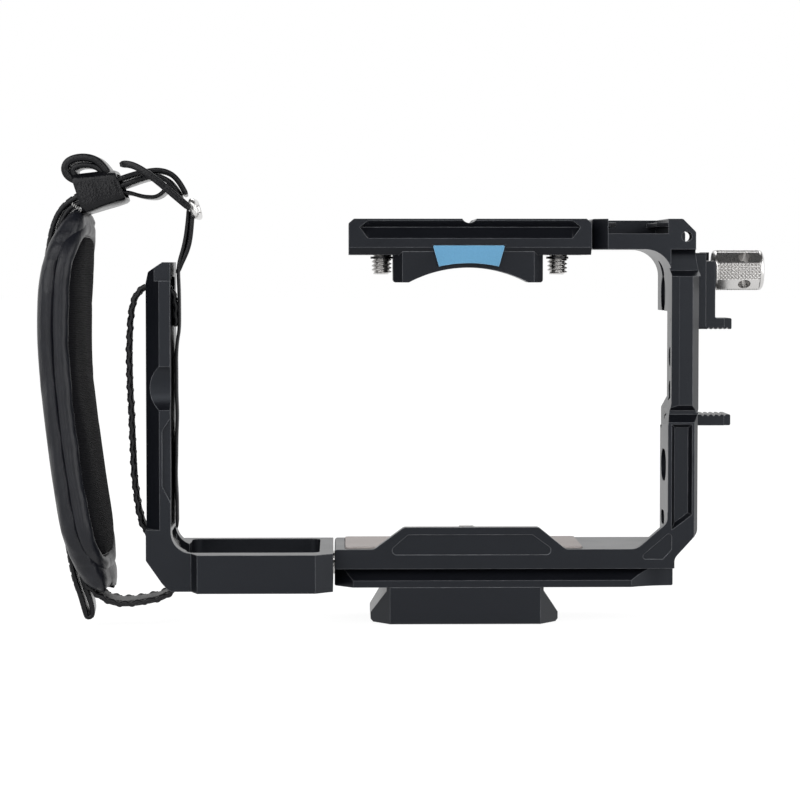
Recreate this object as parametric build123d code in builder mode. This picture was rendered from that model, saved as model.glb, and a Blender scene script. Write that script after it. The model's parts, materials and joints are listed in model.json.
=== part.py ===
from build123d import *
import math
import os

os.makedirs("parts", exist_ok=True)

# A camera cage: a machined frame that grips a camera from below and from the side, a rail plate over
# its top, a sliding side bracket with a hand strap, and a cable clamp. Millimetres, +Z up, -Y is the
# lens side, and the origin is the middle of the quick-release plate's underside.

# ---- Fits --------------------------------------------------------------------------------------
turn_clearance = 0.06      # radial, round a screw or stud that turns
slide_clearance = 0.05     # radial, round a guide rod
seat_clearance = 0.15      # each side, round a part laid in its pocket
strap_clearance = 0.6      # each side, round a strap in its slot

# ---- Frame -------------------------------------------------------------------------------------
cage_depth = 40.0
front = -cage_depth / 2
back = cage_depth / 2
plate_height = 11.5        # quick-release plate
base_height = 11.9
base_low = plate_height
base_top = base_low + base_height
base_left = -40.8
arm_inside = 64.3          # upper half of the arm
arm_thickness = 8.9
arm_outside = arm_inside + arm_thickness
low_arm_inside = arm_inside - 1.1
low_arm_thickness = 9.6
low_arm_outside = low_arm_inside + low_arm_thickness
low_arm_relief = 2.3       # rebate in the lower arm's inner face, towards the back
low_arm_relief_y = 2.0
arm_step = base_top + 42.6  # height where the arm's lower half meets the upper one
arm_panel_left = 1.2       # recessed panel down the lower arm's front, from its two edges
arm_panel_right = 2.0
arm_bevel = 1.3
arm_panel_depth = 2.3
foot_right = arm_inside + 1.1  # right end of the dovetail foot
camera_height = 91.8       # free height between the base and the rail plate
rail_low = base_top + camera_height
rail_height = 11.2
rail_top = rail_low + rail_height
bar_low = rail_low + 1.7
bar_left = 39.7
bar_right = arm_outside - 1.5
corner_radius = 8.4        # inner corner between the arm and the top bar
tongue_reach = 13.0        # tongue that carries the rail plate
tongue_width = 15.0
tongue_height = 4.6
tongue_y = 9.3
tongue_screw_x = bar_left - 7.5
tongue_screw_y = (tongue_y - 4, tongue_y + 4)
lens_x = 1.0
lens_z = base_top + 47.8
lip_thickness = 3.5        # raised lip and corner gusset at the front of the base
lip_height = 6.9
engraving = 0.45           # depth of the shallow front pockets

foot_lip = 2.1             # height of the dovetail foot's edge
groove_height = 3.7
groove_depth = 3.6
foot_chamfer = 5.8
foot_round = 22.8          # plan radius at the foot's right end
foot_round_start = foot_right - 13.4

shoe_width = 18.7          # cold shoe: channel under its lips
shoe_gap = 12.9            # between the lips
shoe_channel = 2.2
shoe_lip = 1.3
shoe_lead = 6.0            # the lips are cut back over this length at the front
shoe_x = bar_left + 14.0
shoe_stop = 5.0            # wall left behind the shoe
shoe_floor = rail_top - 4.6

arm_pocket_low = arm_step + 3.5
arm_pocket_ramp = 11.4
arm_pocket_high = base_top + 74.1
arm_pocket_depth = 3.1
arm_rim = 4.2              # front rim beside the pocket

quarter_tap = 5.1          # 1/4"-20 tapping bore
quarter_thread = 6.35      # 1/4"-20 thread outside
three_eighths_tap = 7.94   # 3/8"-16 tapping bore
thread_mouth = 0.7         # width of the countersink round a tapped bore
m3_bore = 3.2
m3_thread = 3.0
m3_head = 5.6
m3_head_height = 1.8

# ---- Rail plate and what it carries ------------------------------------------------------------
rail_left = -36.3
rail_right = bar_left - 0.5
rail_flange = 0.6          # upright edge of the top flange
rail_groove_top = 2.0
rail_groove_low = 3.5
rail_groove_depth = 2.6
rail_face = 2.8            # upright band under the groove
rail_runout = 6.0          # groove stops this short of the ends
captive_x = (-25.9, 29.6)
captive_y = -5.0
captive_head = 9.6
captive_head_height = 3.6
captive_reach = 6.1        # thread that stands out under the plate
block_left = -22.5
block_right = 24.3
block_front = front + 1.2
block_depth = 13.0
block_drop = 8.6
block_corner = 2.9
block_screw_x = (-14.0, 16.0)
block_screw_y = block_front + 7.0
top_thread_y = 7.0
top_threads = ((-12.8, quarter_tap), (lens_x + 0.2, three_eighths_tap), (15.2, quarter_tap))
name_high = rail_low + 2.9
lens_arc = 40.0            # radius round the lens axis
name_top = 22.4            # nameplate: width at its top and bottom edges
name_bottom = 18.6
name_proud = 0.6           # stands out in front of the rail plate
name_margin = 1.4          # between the nameplate and the lens arc
rail_bevel = rail_height - rail_flange - rail_groove_top - rail_groove_low - rail_face

# ---- Underside ---------------------------------------------------------------------------------
plate_width = 59.0         # quick-release plate over its dovetail
plate_neck = 49.2
plate_edge = 2.9
plate_corner_x = 6.0
plate_corner_y = 8.0
plate_screw_x = 17.0
plate_screw_seat = 4.0
plate_screw_length = 13.5
camera_screw_x = 1.2
camera_screw_head = 13.0
camera_screw_head_height = 4.2
camera_screw_reach = 5.7
tripod_x = (40.0, 52.0)    # 1/4"-20 and 3/8"-16 threads beside the plate
tripod_depth = 8.5
pad_left = -37.4
pad_right = 36.9
pad_front = front + lip_thickness + 0.4
pad_back = back - 1.5
pad_recess = 1.0
pad_proud = 0.5

# ---- Side bracket ------------------------------------------------------------------------------
bracket_left = -98.8
bracket_arm = 7.7
bracket_arm_front = front - 11.0
bracket_arm_depth = 34.0
bracket_front = front - 17.0
bracket_back = back
bracket_right = base_left - 0.45
bracket_top = 112.9
bracket_low = base_low + 0.1
window_left = -86.7
window_right = -45.4
window_front = bracket_front + 8.4
window_back = bracket_back - 4.0
rod_radius = 2.5
rod_spacing = 22.0
rod_reach = 33.0
rod_z = base_low + base_height / 2
bracket_travel = 15.0
bracket_inner_radius = 6.5
facet_x = bracket_left + 13.9  # where the foot steps forward of the arm
arm_facet = 4.3
inner_facet = 2.6
inner_facet_low = base_top + 17.6
scoop_z = base_top + 50.8
rod_seat = 2.2
rod_screw_depth = 9.0
rod_screw_head = 2.4
lock_screw_x = base_left + 6.8
lock_screw_radius = 2.5
strap_width = 18.0
strap_thickness = 2.0
strap_y = bracket_arm_front + bracket_arm_depth / 2
slot_height = 4.4
upper_slot_z = 106.2
lower_slot_z = 27.6

# ---- Hand strap --------------------------------------------------------------------------------
slider_x = -84.0
slider_z = 129.4
slider_width = 25.0
slider_height = 6.6
slider_wire = 2.2
pad_x = -121.0
pad_yaw = 5.0
hand_pad_width = 46.0
pad_end_width = 24.0
pad_bottom = 12.5
pad_top = 131.0
lining_thickness = 2.0
pad_outer = (
    (-120.5, pad_top - 1.2), (-126.0, 121.0), (-129.0, 102.0), (-128.7, 86.0),
    (-125.7, 56.0), (-121.9, 30.0), (-115.0, 14.4),
)
pad_inner = (
    (-110.4, pad_bottom), (-113.0, 19.0), (-117.0, 38.0), (-120.0, 58.0), (-122.3, 80.0),
    (-122.7, 98.0), (-121.6, 112.0), (-119.4, 120.5), (-117.4, 126.6),
)

# ---- Cable clamp -------------------------------------------------------------------------------
clamp_y = 5.0
clamp_width = 16.0
clamp_low = 91.7
track_thickness = 3.85
track_height = 24.2
cheek = 3.0                # guide behind the upper jaw
cheek_reach = 2.55
jaw_thickness = 2.95
jaw_height = 21.6
jaw_reach = 8.3
jaw_foot = 3.5
jaw_travel = 8.0
jaw_tip = 5.9              # the tips are set back in front beyond this reach
jaw_tip_set = 0.9
tooth_pitch = 1.75
tooth_height = 0.55
lower_jaw_top = base_top + 41.2
lower_jaw_reach = 12.3
knob_z = base_top + 87.0
knob_radius = 6.4
knob_length = 15.95
knob_bar_bore = 2.1        # crossed holes for a tightening bar
knob_bar_x = 9.7
stud_radius = 3.0
washer_radius = 5.0
washer_thickness = 1.0
anti_twist_z = knob_z - 7.6
clamp_screw_y = (clamp_y - 5, clamp_y + 5)
track_screw_z = clamp_low + 2.6
lower_jaw_thickness = 3.85
lower_jaw_z = lower_jaw_top - lower_jaw_thickness / 2 - 0.15
jaw_screw_radius = 1.25
jaw_screw_head = 2.3
jaw_screw_head_height = 1.6
jaw_screw_seat = low_arm_inside + low_arm_relief + jaw_screw_head_height
side_thread_y = 12.0
side_thread_z = (base_top + 48.2, base_top + 59.1)


def cut_cylinder_x(x0, x1, y, z, radius):
    """Take a round bore along X out of the part being built."""
    with Locations(((x0 + x1) / 2, y, z)):
        Cylinder(radius, x1 - x0, rotation=(0, 90, 0), mode=Mode.SUBTRACT)


def cut_cylinder_z(x, y, z0, z1, radius):
    """Take a round bore along Z out of the part being built."""
    with Locations((x, y, (z0 + z1) / 2)):
        Cylinder(radius, z1 - z0, mode=Mode.SUBTRACT)


def cut_box(x0, x1, y0, y1, z0, z1):
    """Take a box, given by its corners, out of the part being built."""
    with Locations(((x0 + x1) / 2, (y0 + y1) / 2, (z0 + z1) / 2)):
        Box(x1 - x0, y1 - y0, z1 - z0, mode=Mode.SUBTRACT)


# ---- Cage frame: base, arm and top bar in one machined piece ------------------------------------
with BuildPart() as cage_frame:
    with BuildSketch(Plane.XZ.offset(-back)):
        with BuildLine():
            FilletPolyline(
                (base_left, base_low),
                (foot_right, base_low),
                (foot_right, base_top - 2.9),
                (low_arm_outside, base_top + 5.2),
                (low_arm_outside, arm_step - 0.6),
                (arm_outside, arm_step + 1.0),
                (arm_outside, bar_low - 7.4),
                (bar_right, bar_low + 0.3),
                (bar_right, rail_top - 4.1),
                (bar_right - 4.1, rail_top),
                (bar_left, rail_top),
                (bar_left, bar_low),
                (arm_inside, bar_low),
                (arm_inside, arm_step + 3.0),
                (low_arm_inside, arm_step - 3.9),
                (low_arm_inside, base_top),
                (base_left, base_top),
                radius=[
                    0.5, 0.5, 3, 2.5, 0.4, 0.4, 0.4, 0.6, 1.2,
                    1, 0.6, 0.6, corner_radius, 1, 1, 1.5, 0.9,
                ],
                close=True,
            )
        make_face()
    extrude(amount=cage_depth)

    # Raised lip in front of the camera, and the gusset in the lower corner.
    with BuildSketch(Plane.XZ.offset(-front)):
        with BuildLine():
            FilletPolyline(
                (-32.0, base_top - 2),
                (-32.0, base_top),
                (-28.6, base_top),
                (-19.2, base_top + lip_height),
                (22.9, base_top + lip_height),
                (31.4, base_top),
                (35.0, base_top),
                (35.0, base_top - 2),
                radius=[0, 2.5, 2, 2, 2.5, 0],
                close=False,
            )
            Line((35.0, base_top - 2), (-32.0, base_top - 2))
        make_face()
        with BuildLine():
            FilletPolyline(
                (low_arm_inside + 2, base_top - 2),
                (low_arm_inside + 2, base_top + 11.5),
                (low_arm_inside - 0.1, base_top + 11.5),
                (low_arm_inside - 0.1, base_top + 8.2),
                (low_arm_inside - 9.6, base_top),
                (low_arm_inside - 14, base_top),
                (low_arm_inside - 14, base_top - 2),
                radius=[0, 0, 3, 5, 0],
                close=False,
            )
            Line((low_arm_inside - 14, base_top - 2), (low_arm_inside + 2, base_top - 2))
        make_face()
    extrude(amount=-lip_thickness)

    # Shallow pockets in the lip and the gusset.
    with BuildSketch(Plane.XZ.offset(-front - engraving)):
        with BuildLine():
            FilletPolyline(
                (-25.2, base_top - 1.7),
                (-17.9, base_top + lip_height - 2.3),
                (21.0, base_top + lip_height - 2.3),
                (29.6, base_top - 1.7),
                radius=1.4,
                close=True,
            )
        make_face()
        with BuildLine():
            FilletPolyline(
                (low_arm_inside - 9.2, base_top - 3.2),
                (low_arm_inside - 1.4, base_top - 3.2),
                (low_arm_inside + 1.3, base_top - 0.2),
                (low_arm_inside + 1.3, base_top + 5.8),
                radius=[0.9, 1.2, 1.2, 0.9],
                close=True,
            )
        make_face()
    extrude(amount=engraving + 1, mode=Mode.SUBTRACT)

    # Dovetail grooves along both long sides of the foot.
    with BuildSketch(Plane.YZ.offset(base_left - 1)):
        for side in (front, back):
            inward = -math.copysign(groove_depth, side)
            with BuildLine():
                Polyline(
                    (side - inward, base_low + foot_lip - groove_depth),
                    (side + inward, base_low + foot_lip + groove_height),
                    (side - inward, base_low + foot_lip + groove_height),
                    close=True,
                )
            make_face()
    extrude(amount=foot_right + 1 - base_left + 1, mode=Mode.SUBTRACT)

    # The foot's corners: a chamfer in plan at the left, a long round at the right.
    foot_top = base_low + foot_lip + groove_height
    with BuildSketch(Plane.XY.offset(base_low - 1)):
        for side in (front, back):
            inward = -math.copysign(1.0, side)
            with BuildLine():
                Polyline(
                    (base_left - 1, side - inward),
                    (base_left + foot_chamfer, side - inward),
                    (base_left + foot_chamfer, side),
                    (base_left - 1, side + inward * (foot_chamfer + 2)),
                    close=True,
                )
            make_face()
            reach = foot_right + 0.5 - foot_round_start
            sag = foot_round - math.sqrt(foot_round**2 - reach**2)
            with BuildLine():
                RadiusArc(
                    (foot_round_start, side),
                    (foot_right + 0.5, side + inward * sag),
                    foot_round * inward,
                )
                Line((foot_right + 0.5, side + inward * sag), (foot_right + 0.5, side - inward))
                Line((foot_right + 0.5, side - inward), (foot_round_start, side - inward))
                Line((foot_round_start, side - inward), (foot_round_start, side))
            make_face()
    extrude(amount=foot_top - base_low + 1, mode=Mode.SUBTRACT)

    # Recessed panel down the front of the arm's lower half, and a bevel along its outer edge.
    with BuildSketch(Plane.XZ.offset(-front)):
        with BuildLine():
            Polyline(
                (low_arm_inside + arm_panel_left, arm_step - 3.6),
                (low_arm_outside - arm_panel_right, arm_step - 3.6),
                (low_arm_outside - arm_panel_right, base_top + 10.7),
                (low_arm_inside + arm_panel_left, base_top + 5.9),
                close=True,
            )
        make_face()
    extrude(amount=-arm_panel_depth, taper=25, mode=Mode.SUBTRACT)
    with BuildSketch(Plane.XY.offset(base_low)):
        with BuildLine():
            Polyline(
                (low_arm_outside - arm_bevel, front),
                (low_arm_outside, front + 2 * arm_bevel),
                (arm_outside + 1, front + 2 * arm_bevel),
                (arm_outside + 1, front - 1),
                (low_arm_outside - arm_bevel, front - 1),
                close=True,
            )
        make_face()
    extrude(amount=arm_step - base_low, mode=Mode.SUBTRACT)

    # Facets down the front of the arm's upper half.
    with BuildSketch(Plane.XY.offset(arm_step)):
        with BuildLine():
            Polyline(
                (arm_inside - 1, front - 1),
                (arm_inside - 1, front + 1.6),
                (arm_inside + 2.3, front),
                (arm_inside + 2.3, front - 1),
                close=True,
            )
        make_face()
        with BuildLine():
            Polyline(
                (arm_inside + 6.5, front),
                (arm_outside + 1, front + 6.3),
                (arm_outside + 1, front - 1),
                (arm_inside + 6.5, front - 1),
                close=True,
            )
        make_face()
    extrude(amount=bar_low - 8.4 - arm_step, mode=Mode.SUBTRACT)

    # V notch across the arm between the halves, and the deep scoop under the top bar.
    with BuildSketch(Plane.YZ.offset(low_arm_inside - 3)):
        with BuildLine():
            Polyline(
                (front - 1, arm_step + 3.0),
                (front + 2.6, arm_step + 0.6),
                (front + 2.6, arm_step - 0.6),
                (front - 1, arm_step - 4.0),
                close=True,
            )
        make_face()
    extrude(amount=arm_outside - low_arm_inside + 6, mode=Mode.SUBTRACT)
    with BuildSketch(Plane.YZ.offset(arm_inside - 0.4)):
        with BuildLine():
            FilletPolyline(
                (front - 1, bar_low + 0.7),
                (front + 4.4, bar_low - 1.0),
                (front + 4.4, bar_low - 6.6),
                (front - 1, bar_low - 8.8),
                radius=[1.6, 3.0, 0, 0],
                close=True,
            )
        make_face()
    extrude(amount=arm_thickness + 4, mode=Mode.SUBTRACT)

    # Pocket in the arm's inner face behind the front rim.
    with BuildSketch(Plane.XZ.offset(-back - 1)):
        with BuildLine():
            Polyline(
                (low_arm_inside - 2, arm_pocket_low - arm_pocket_ramp),
                (arm_inside + arm_pocket_depth, arm_pocket_low),
                (arm_inside + arm_pocket_depth, arm_pocket_high),
                (low_arm_inside - 2, arm_pocket_high),
                close=True,
            )
        make_face()
    extrude(amount=cage_depth - arm_rim + 1, mode=Mode.SUBTRACT)
    cut_box(
        low_arm_inside - 1, low_arm_inside + low_arm_relief,
        low_arm_relief_y, back + 1,
        base_top, arm_pocket_low,
    )

    # Cold shoe on the top bar: channel, gap between its lips, and the way in.
    cut_box(
        shoe_x - shoe_width / 2, shoe_x + shoe_width / 2,
        front - 1, back - shoe_stop,
        shoe_floor, shoe_floor + shoe_channel,
    )
    cut_box(
        shoe_x - shoe_gap / 2, shoe_x + shoe_gap / 2,
        front - 1, back - shoe_stop,
        shoe_floor, rail_top + 1,
    )
    cut_box(
        shoe_x - shoe_width / 2, shoe_x + shoe_width / 2,
        front - 1, back - shoe_stop,
        shoe_floor + shoe_channel + shoe_lip, rail_top + 1,
    )
    with BuildSketch(Plane.XY.offset(shoe_floor)):
        for turn in (-1, 1):
            with BuildLine():
                Polyline(
                    (shoe_x + turn * shoe_width / 2, front - 1),
                    (shoe_x + turn * shoe_width / 2, front),
                    (shoe_x + turn * shoe_gap / 2, front + shoe_lead),
                    (shoe_x, front + shoe_lead),
                    (shoe_x, front - 1),
                    close=True,
                )
            make_face()
    extrude(amount=rail_top - shoe_floor + 1, mode=Mode.SUBTRACT)

    # Strap eye at the upper corner: a bore through the front wall into an open slot.
    with BuildSketch(Plane.XZ.offset(-front + 1)):
        with Locations((bar_right - 2.9, rail_top - 5.5)):
            Circle(1.6)
    extrude(amount=-cage_depth / 2, mode=Mode.SUBTRACT)
    cut_box(bar_right - 5.4, arm_outside + 1, front + 7, back - 12, rail_top - 8.6, rail_top + 1)

    # Plan chamfer at the top bar's left end.
    with BuildSketch(Plane.XY.offset(bar_low - 1)):
        with BuildLine():
            Polyline(
                (bar_left - 1, front - 1),
                (bar_left + 4.6, front - 1),
                (bar_left + 4.6, front),
                (bar_left, front + 4.6),
                (bar_left - 1, front + 4.6),
                close=True,
            )
        make_face()
    extrude(amount=rail_top - bar_low + 2, mode=Mode.SUBTRACT)

    # Tongue that carries the rail plate.
    with Locations((bar_left - tongue_reach / 2 + 0.5, tongue_y, bar_low + tongue_height / 2)):
        Box(tongue_reach + 1, tongue_width, tongue_height)
    for y in tongue_screw_y:
        cut_cylinder_z(tongue_screw_x, y, bar_low - 1, bar_low + tongue_height + 1, m3_bore / 2)
        cut_cylinder_z(tongue_screw_x, y, bar_low - 1, bar_low + m3_head_height, m3_head / 2 + seat_clearance)

    # Bores in the arm.
    cut_cylinder_x(arm_inside - 2, arm_outside + 1, clamp_y, knob_z, stud_radius + turn_clearance)
    cut_cylinder_x(arm_inside - 1, arm_outside - 1.2, clamp_y, anti_twist_z, three_eighths_tap / 2)
    cut_cylinder_x(arm_inside - 1, arm_inside + 1.2, clamp_y, anti_twist_z, 6.0)
    for z in side_thread_z:
        cut_cylinder_x(arm_inside, arm_outside + 1, side_thread_y, z, quarter_tap / 2)
        mouth = quarter_tap / 2 + thread_mouth
        cut_cylinder_x(arm_inside, arm_inside + arm_pocket_depth + thread_mouth, side_thread_y, z, mouth)
        cut_cylinder_x(arm_outside - thread_mouth, arm_outside + 1, side_thread_y, z, mouth)
    with BuildSketch(Plane.YZ.offset(low_arm_inside - 1)):
        with Locations((front + 12.2, base_top + 25.6)):
            SlotOverall(13.6, 10.1)
        with Locations((front + 14.0, base_top + 8.9)):
            SlotOverall(8.6, 4.6)
    extrude(amount=low_arm_outside - low_arm_inside + 2, mode=Mode.SUBTRACT)

    # Clamp fixings in the arm: track screws from the inside, and a seat for the lower jaw.
    for y in clamp_screw_y:
        cut_cylinder_x(arm_inside, arm_outside + 1, y, track_screw_z, m3_bore / 2)
        recess = arm_inside + arm_pocket_depth + m3_head_height
        cut_cylinder_x(arm_inside, recess, y, track_screw_z, m3_head / 2 + seat_clearance)
        cut_cylinder_x(low_arm_inside - 1, low_arm_outside + 2, y, lower_jaw_z, jaw_screw_radius)
        cut_cylinder_x(low_arm_inside - 1, jaw_screw_seat, y, lower_jaw_z, jaw_screw_head + seat_clearance)

    # Base: pad recess, camera screw, plate screws, guide rods, lock screw, tripod threads.
    cut_box(
        pad_left - seat_clearance, pad_right + seat_clearance,
        pad_front - seat_clearance, pad_back + seat_clearance,
        base_top - pad_recess, base_top + 1,
    )
    cut_cylinder_z(camera_screw_x, 0, base_low - 1, base_top + 1, quarter_thread / 2 + turn_clearance)
    head_room = camera_screw_head / 2 + 0.3
    cut_cylinder_z(camera_screw_x, 0, base_low - 1, base_low + camera_screw_head_height + 1.2, head_room)
    for x in (-plate_screw_x, plate_screw_x):
        cut_cylinder_z(x, 0, base_low - 1, base_low + 6.5, m3_thread / 2)
    for y in (-rod_spacing / 2, rod_spacing / 2):
        with BuildSketch(Plane.YZ.offset(base_left - 1)):
            with Locations((y, rod_z)):
                Circle(rod_radius + slide_clearance)
        extrude(amount=rod_reach + 2, mode=Mode.SUBTRACT)
    cut_cylinder_z(lock_screw_x, rod_spacing / 2, base_low - 1, rod_z, lock_screw_radius)
    cut_cylinder_z(tripod_x[0], 0, base_low - 1, base_low + tripod_depth, quarter_tap / 2)
    cut_cylinder_z(tripod_x[1], 0, base_low - 1, base_low + tripod_depth, three_eighths_tap / 2)
cage_frame.part.label = "cage_frame"
export_step(cage_frame.part, "parts/cage_frame.step")

# ---- Rail plate over the lens side of the top -----------------------------------------------------
with BuildPart() as top_rail_plate:
    with BuildSketch(Plane.YZ.offset(rail_left)):
        with BuildLine():
            Polyline(
                (front, rail_top),
                (front, rail_low + rail_bevel),
                (front + rail_bevel, rail_low),
                (back - rail_bevel, rail_low),
                (back, rail_low + rail_bevel),
                (back, rail_top),
                close=True,
            )
        make_face()
    extrude(amount=rail_right - rail_left)

    # Dovetail groove along the front and the back, run out with a cone at each end.
    groove_top = rail_top - rail_flange
    groove_root = groove_top - rail_groove_top
    groove_low = groove_root - rail_groove_low
    for side in (front, back):
        inward = -math.copysign(rail_groove_depth, side)
        with BuildSketch(Plane.YZ.offset(rail_left + rail_runout)):
            with BuildLine():
                Polyline((side, groove_top), (side + inward, groove_root), (side, groove_low), close=True)
            make_face()
        extrude(amount=rail_right - rail_left - 2 * rail_runout, mode=Mode.SUBTRACT)
        for end in (rail_left + rail_runout, rail_right - rail_runout):
            with BuildSketch(Plane.XZ.offset(-side)):
                with BuildLine():
                    Polyline(
                        (end, groove_top),
                        (end + rail_groove_depth, groove_root),
                        (end, groove_low),
                        close=True,
                    )
                make_face()
            revolve(axis=Axis((end, side, 0), (0, 0, 1)), mode=Mode.SUBTRACT)

    # End corners, the cross notch on top, and the pocket for the frame's tongue.
    with BuildSketch(Plane.XZ.offset(-back - 1)):
        for end, turn in ((rail_left, 1), (rail_right, -1)):
            with BuildLine():
                Polyline(
                    (end - turn, rail_top + 1),
                    (end + turn * 1.6, rail_top + 1),
                    (end + turn * 1.6, rail_top),
                    (end, rail_top - 1.4),
                    (end - turn, rail_top - 1.4),
                    close=True,
                )
            make_face()
        with Locations((lens_x + 0.2, rail_top + 1.3)):
            Circle(2.6)
    extrude(amount=cage_depth + 2, mode=Mode.SUBTRACT)
    tongue_room = tongue_width / 2 + seat_clearance
    cut_box(
        bar_left - tongue_reach - seat_clearance, rail_right + 1,
        tongue_y - tongue_room, tongue_y + tongue_room,
        rail_low - 1, bar_low + tongue_height,
    )
    for y in tongue_screw_y:
        cut_cylinder_z(tongue_screw_x, y, bar_low, bar_low + tongue_height + 3.2, m3_thread / 2)

    # Captive screws, block screws, top threads and the nameplate's recess.
    for x in captive_x:
        cut_cylinder_z(x, captive_y, rail_low - 1, rail_top + 1, quarter_thread / 2 + turn_clearance)
        head_bore = captive_head / 2 + 0.25
        cut_cylinder_z(x, captive_y, rail_top - captive_head_height - 0.4, rail_top + 1, head_bore)
    for x in block_screw_x:
        cut_cylinder_z(x, block_screw_y, rail_low - 1, rail_top + 1, m3_bore / 2)
        head_bore = m3_head / 2 + seat_clearance
        cut_cylinder_z(x, block_screw_y, rail_top - m3_head_height - 0.3, rail_top + 1, head_bore)
    for x, bore in top_threads:
        cut_cylinder_z(x, top_thread_y, rail_low - 1, rail_top + 1, bore / 2)
    with BuildSketch(Plane.XZ.offset(-front + 1)):
        with BuildLine():
            Polyline(
                (lens_x - name_top / 2 - seat_clearance, name_high + seat_clearance),
                (lens_x + name_top / 2 + seat_clearance, name_high + seat_clearance),
                (lens_x + name_top / 2, rail_low - 1),
                (lens_x - name_top / 2, rail_low - 1),
                close=True,
            )
        make_face()
    extrude(amount=-(block_front - front + 1), mode=Mode.SUBTRACT)
top_rail_plate.part.label = "top_rail_plate"
export_step(top_rail_plate.part, "parts/top_rail_plate.step")

# ---- Locating block that hugs the lens mount ------------------------------------------------------
with BuildPart() as locating_block:
    block_low = rail_low - block_drop
    with BuildSketch(Plane.XZ.offset(-block_front - block_depth)):
        with BuildLine():
            FilletPolyline(
                (block_left, rail_low + rail_bevel),
                (block_left, block_low),
                (block_right, block_low),
                (block_right, rail_low + rail_bevel),
                radius=[0.9, 0.9],
            )
            Line((block_right, rail_low + rail_bevel), (block_left, rail_low + rail_bevel))
        make_face()
        with Locations((lens_x, lens_z)):
            Circle(lens_arc, mode=Mode.SUBTRACT)
    extrude(amount=block_depth)
    with BuildSketch(Plane.YZ.offset(block_left - 1)):
        with BuildLine():
            Polyline(
                (front, rail_low + rail_bevel),
                (front + rail_bevel, rail_low),
                (back, rail_low),
                (back, rail_low + 2 * rail_bevel),
                (front, rail_low + 2 * rail_bevel),
                close=True,
            )
        make_face()
    extrude(amount=block_right - block_left + 2, mode=Mode.SUBTRACT)
    with BuildSketch(Plane.XY.offset(block_low - 1)):
        for x, turn in ((block_left, 1), (block_right, -1)):
            with BuildLine():
                Polyline(
                    (x - turn, block_front - 1),
                    (x + turn * block_corner, block_front - 1),
                    (x + turn * block_corner, block_front),
                    (x, block_front + block_corner),
                    (x - turn, block_front + block_corner),
                    close=True,
                )
            make_face()
    extrude(amount=rail_low - block_low + 2 * rail_bevel + 2, mode=Mode.SUBTRACT)
    for x in block_screw_x:
        cut_cylinder_z(x, block_screw_y, rail_low - 5, rail_low + 1, m3_thread / 2)
locating_block.part.label = "locating_block"
export_step(locating_block.part, "parts/locating_block.step")

with BuildPart() as nameplate:
    with BuildSketch(Plane.XZ.offset(-block_front)):
        with BuildLine():
            FilletPolyline(
                (lens_x - name_top / 2, name_high),
                (lens_x + name_top / 2, name_high),
                (lens_x + name_bottom / 2, name_high - 6.6),
                (lens_x + name_bottom / 2, name_high - 8),
                (lens_x - name_bottom / 2, name_high - 8),
                (lens_x - name_bottom / 2, name_high - 6.6),
                radius=[0.4, 0.4, 0, 0, 0, 0],
                close=True,
            )
        make_face()
        with Locations((lens_x, lens_z)):
            Circle(lens_arc + name_margin, mode=Mode.SUBTRACT)
    extrude(amount=block_front - front + name_proud)
nameplate.part.label = "nameplate"
export_step(nameplate.part, "parts/nameplate.step")

# ---- Captive screws under the rail plate ----------------------------------------------------------
for side, x in zip(("left", "right"), captive_x):
    with BuildPart() as captive_screw:
        head_top = rail_top - 0.4
        head_low = head_top - captive_head_height + 0.1
        ring_low = rail_low - 1.2
        with BuildSketch(Plane.XZ.offset(-captive_y)):
            with BuildLine():
                tip = rail_low - captive_reach
                Polyline(
                    (x, tip),
                    (x + quarter_thread / 2 - 0.6, tip),
                    (x + quarter_thread / 2, tip + 0.6),
                    (x + quarter_thread / 2, head_low),
                    (x + captive_head / 2, head_low),
                    (x + captive_head / 2, head_top - 0.5),
                    (x + captive_head / 2 - 0.5, head_top),
                    (x, head_top),
                    close=True,
                )
            make_face()
        revolve(axis=Axis((x, captive_y, 0), (0, 0, 1)))
        with BuildSketch(Plane.XY.offset(head_top)):
            with Locations((x, captive_y)):
                RegularPolygon(2.4, 6)
        extrude(amount=-2.2, mode=Mode.SUBTRACT)
    captive_screw.part.label = "captive_screw_" + side
    export_step(captive_screw.part, "parts/captive_screw_" + side + ".step")

    with BuildPart() as retaining_ring:
        with BuildSketch(Plane.XY.offset(ring_low)):
            with Locations((x, captive_y)):
                Circle(quarter_thread / 2 + 0.35)
                Circle(quarter_thread / 2, mode=Mode.SUBTRACT)
        extrude(amount=0.7)
    retaining_ring.part.label = "retaining_ring_" + side
    export_step(retaining_ring.part, "parts/retaining_ring_" + side + ".step")

# ---- Camera screw, base pad and quick-release plate ------------------------------------------------
with BuildPart() as camera_screw:
    head_low = base_low + 0.2
    head_top = head_low + camera_screw_head_height
    tip = base_top + camera_screw_reach
    with BuildSketch(Plane.XZ):
        with BuildLine():
            Polyline(
                (camera_screw_x, head_low),
                (camera_screw_x + camera_screw_head / 2 - 0.4, head_low),
                (camera_screw_x + camera_screw_head / 2, head_low + 0.4),
                (camera_screw_x + camera_screw_head / 2, head_top),
                (camera_screw_x + quarter_thread / 2, head_top),
                (camera_screw_x + quarter_thread / 2, tip - 0.6),
                (camera_screw_x + quarter_thread / 2 - 0.6, tip),
                (camera_screw_x, tip),
                close=True,
            )
        make_face()
    revolve(axis=Axis((camera_screw_x, 0, 0), (0, 0, 1)))
    with Locations((camera_screw_x, 0, head_low + 0.9)):
        Box(camera_screw_head + 1, 2.0, 1.8, mode=Mode.SUBTRACT)
camera_screw.part.label = "camera_screw"
export_step(camera_screw.part, "parts/camera_screw.step")

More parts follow.
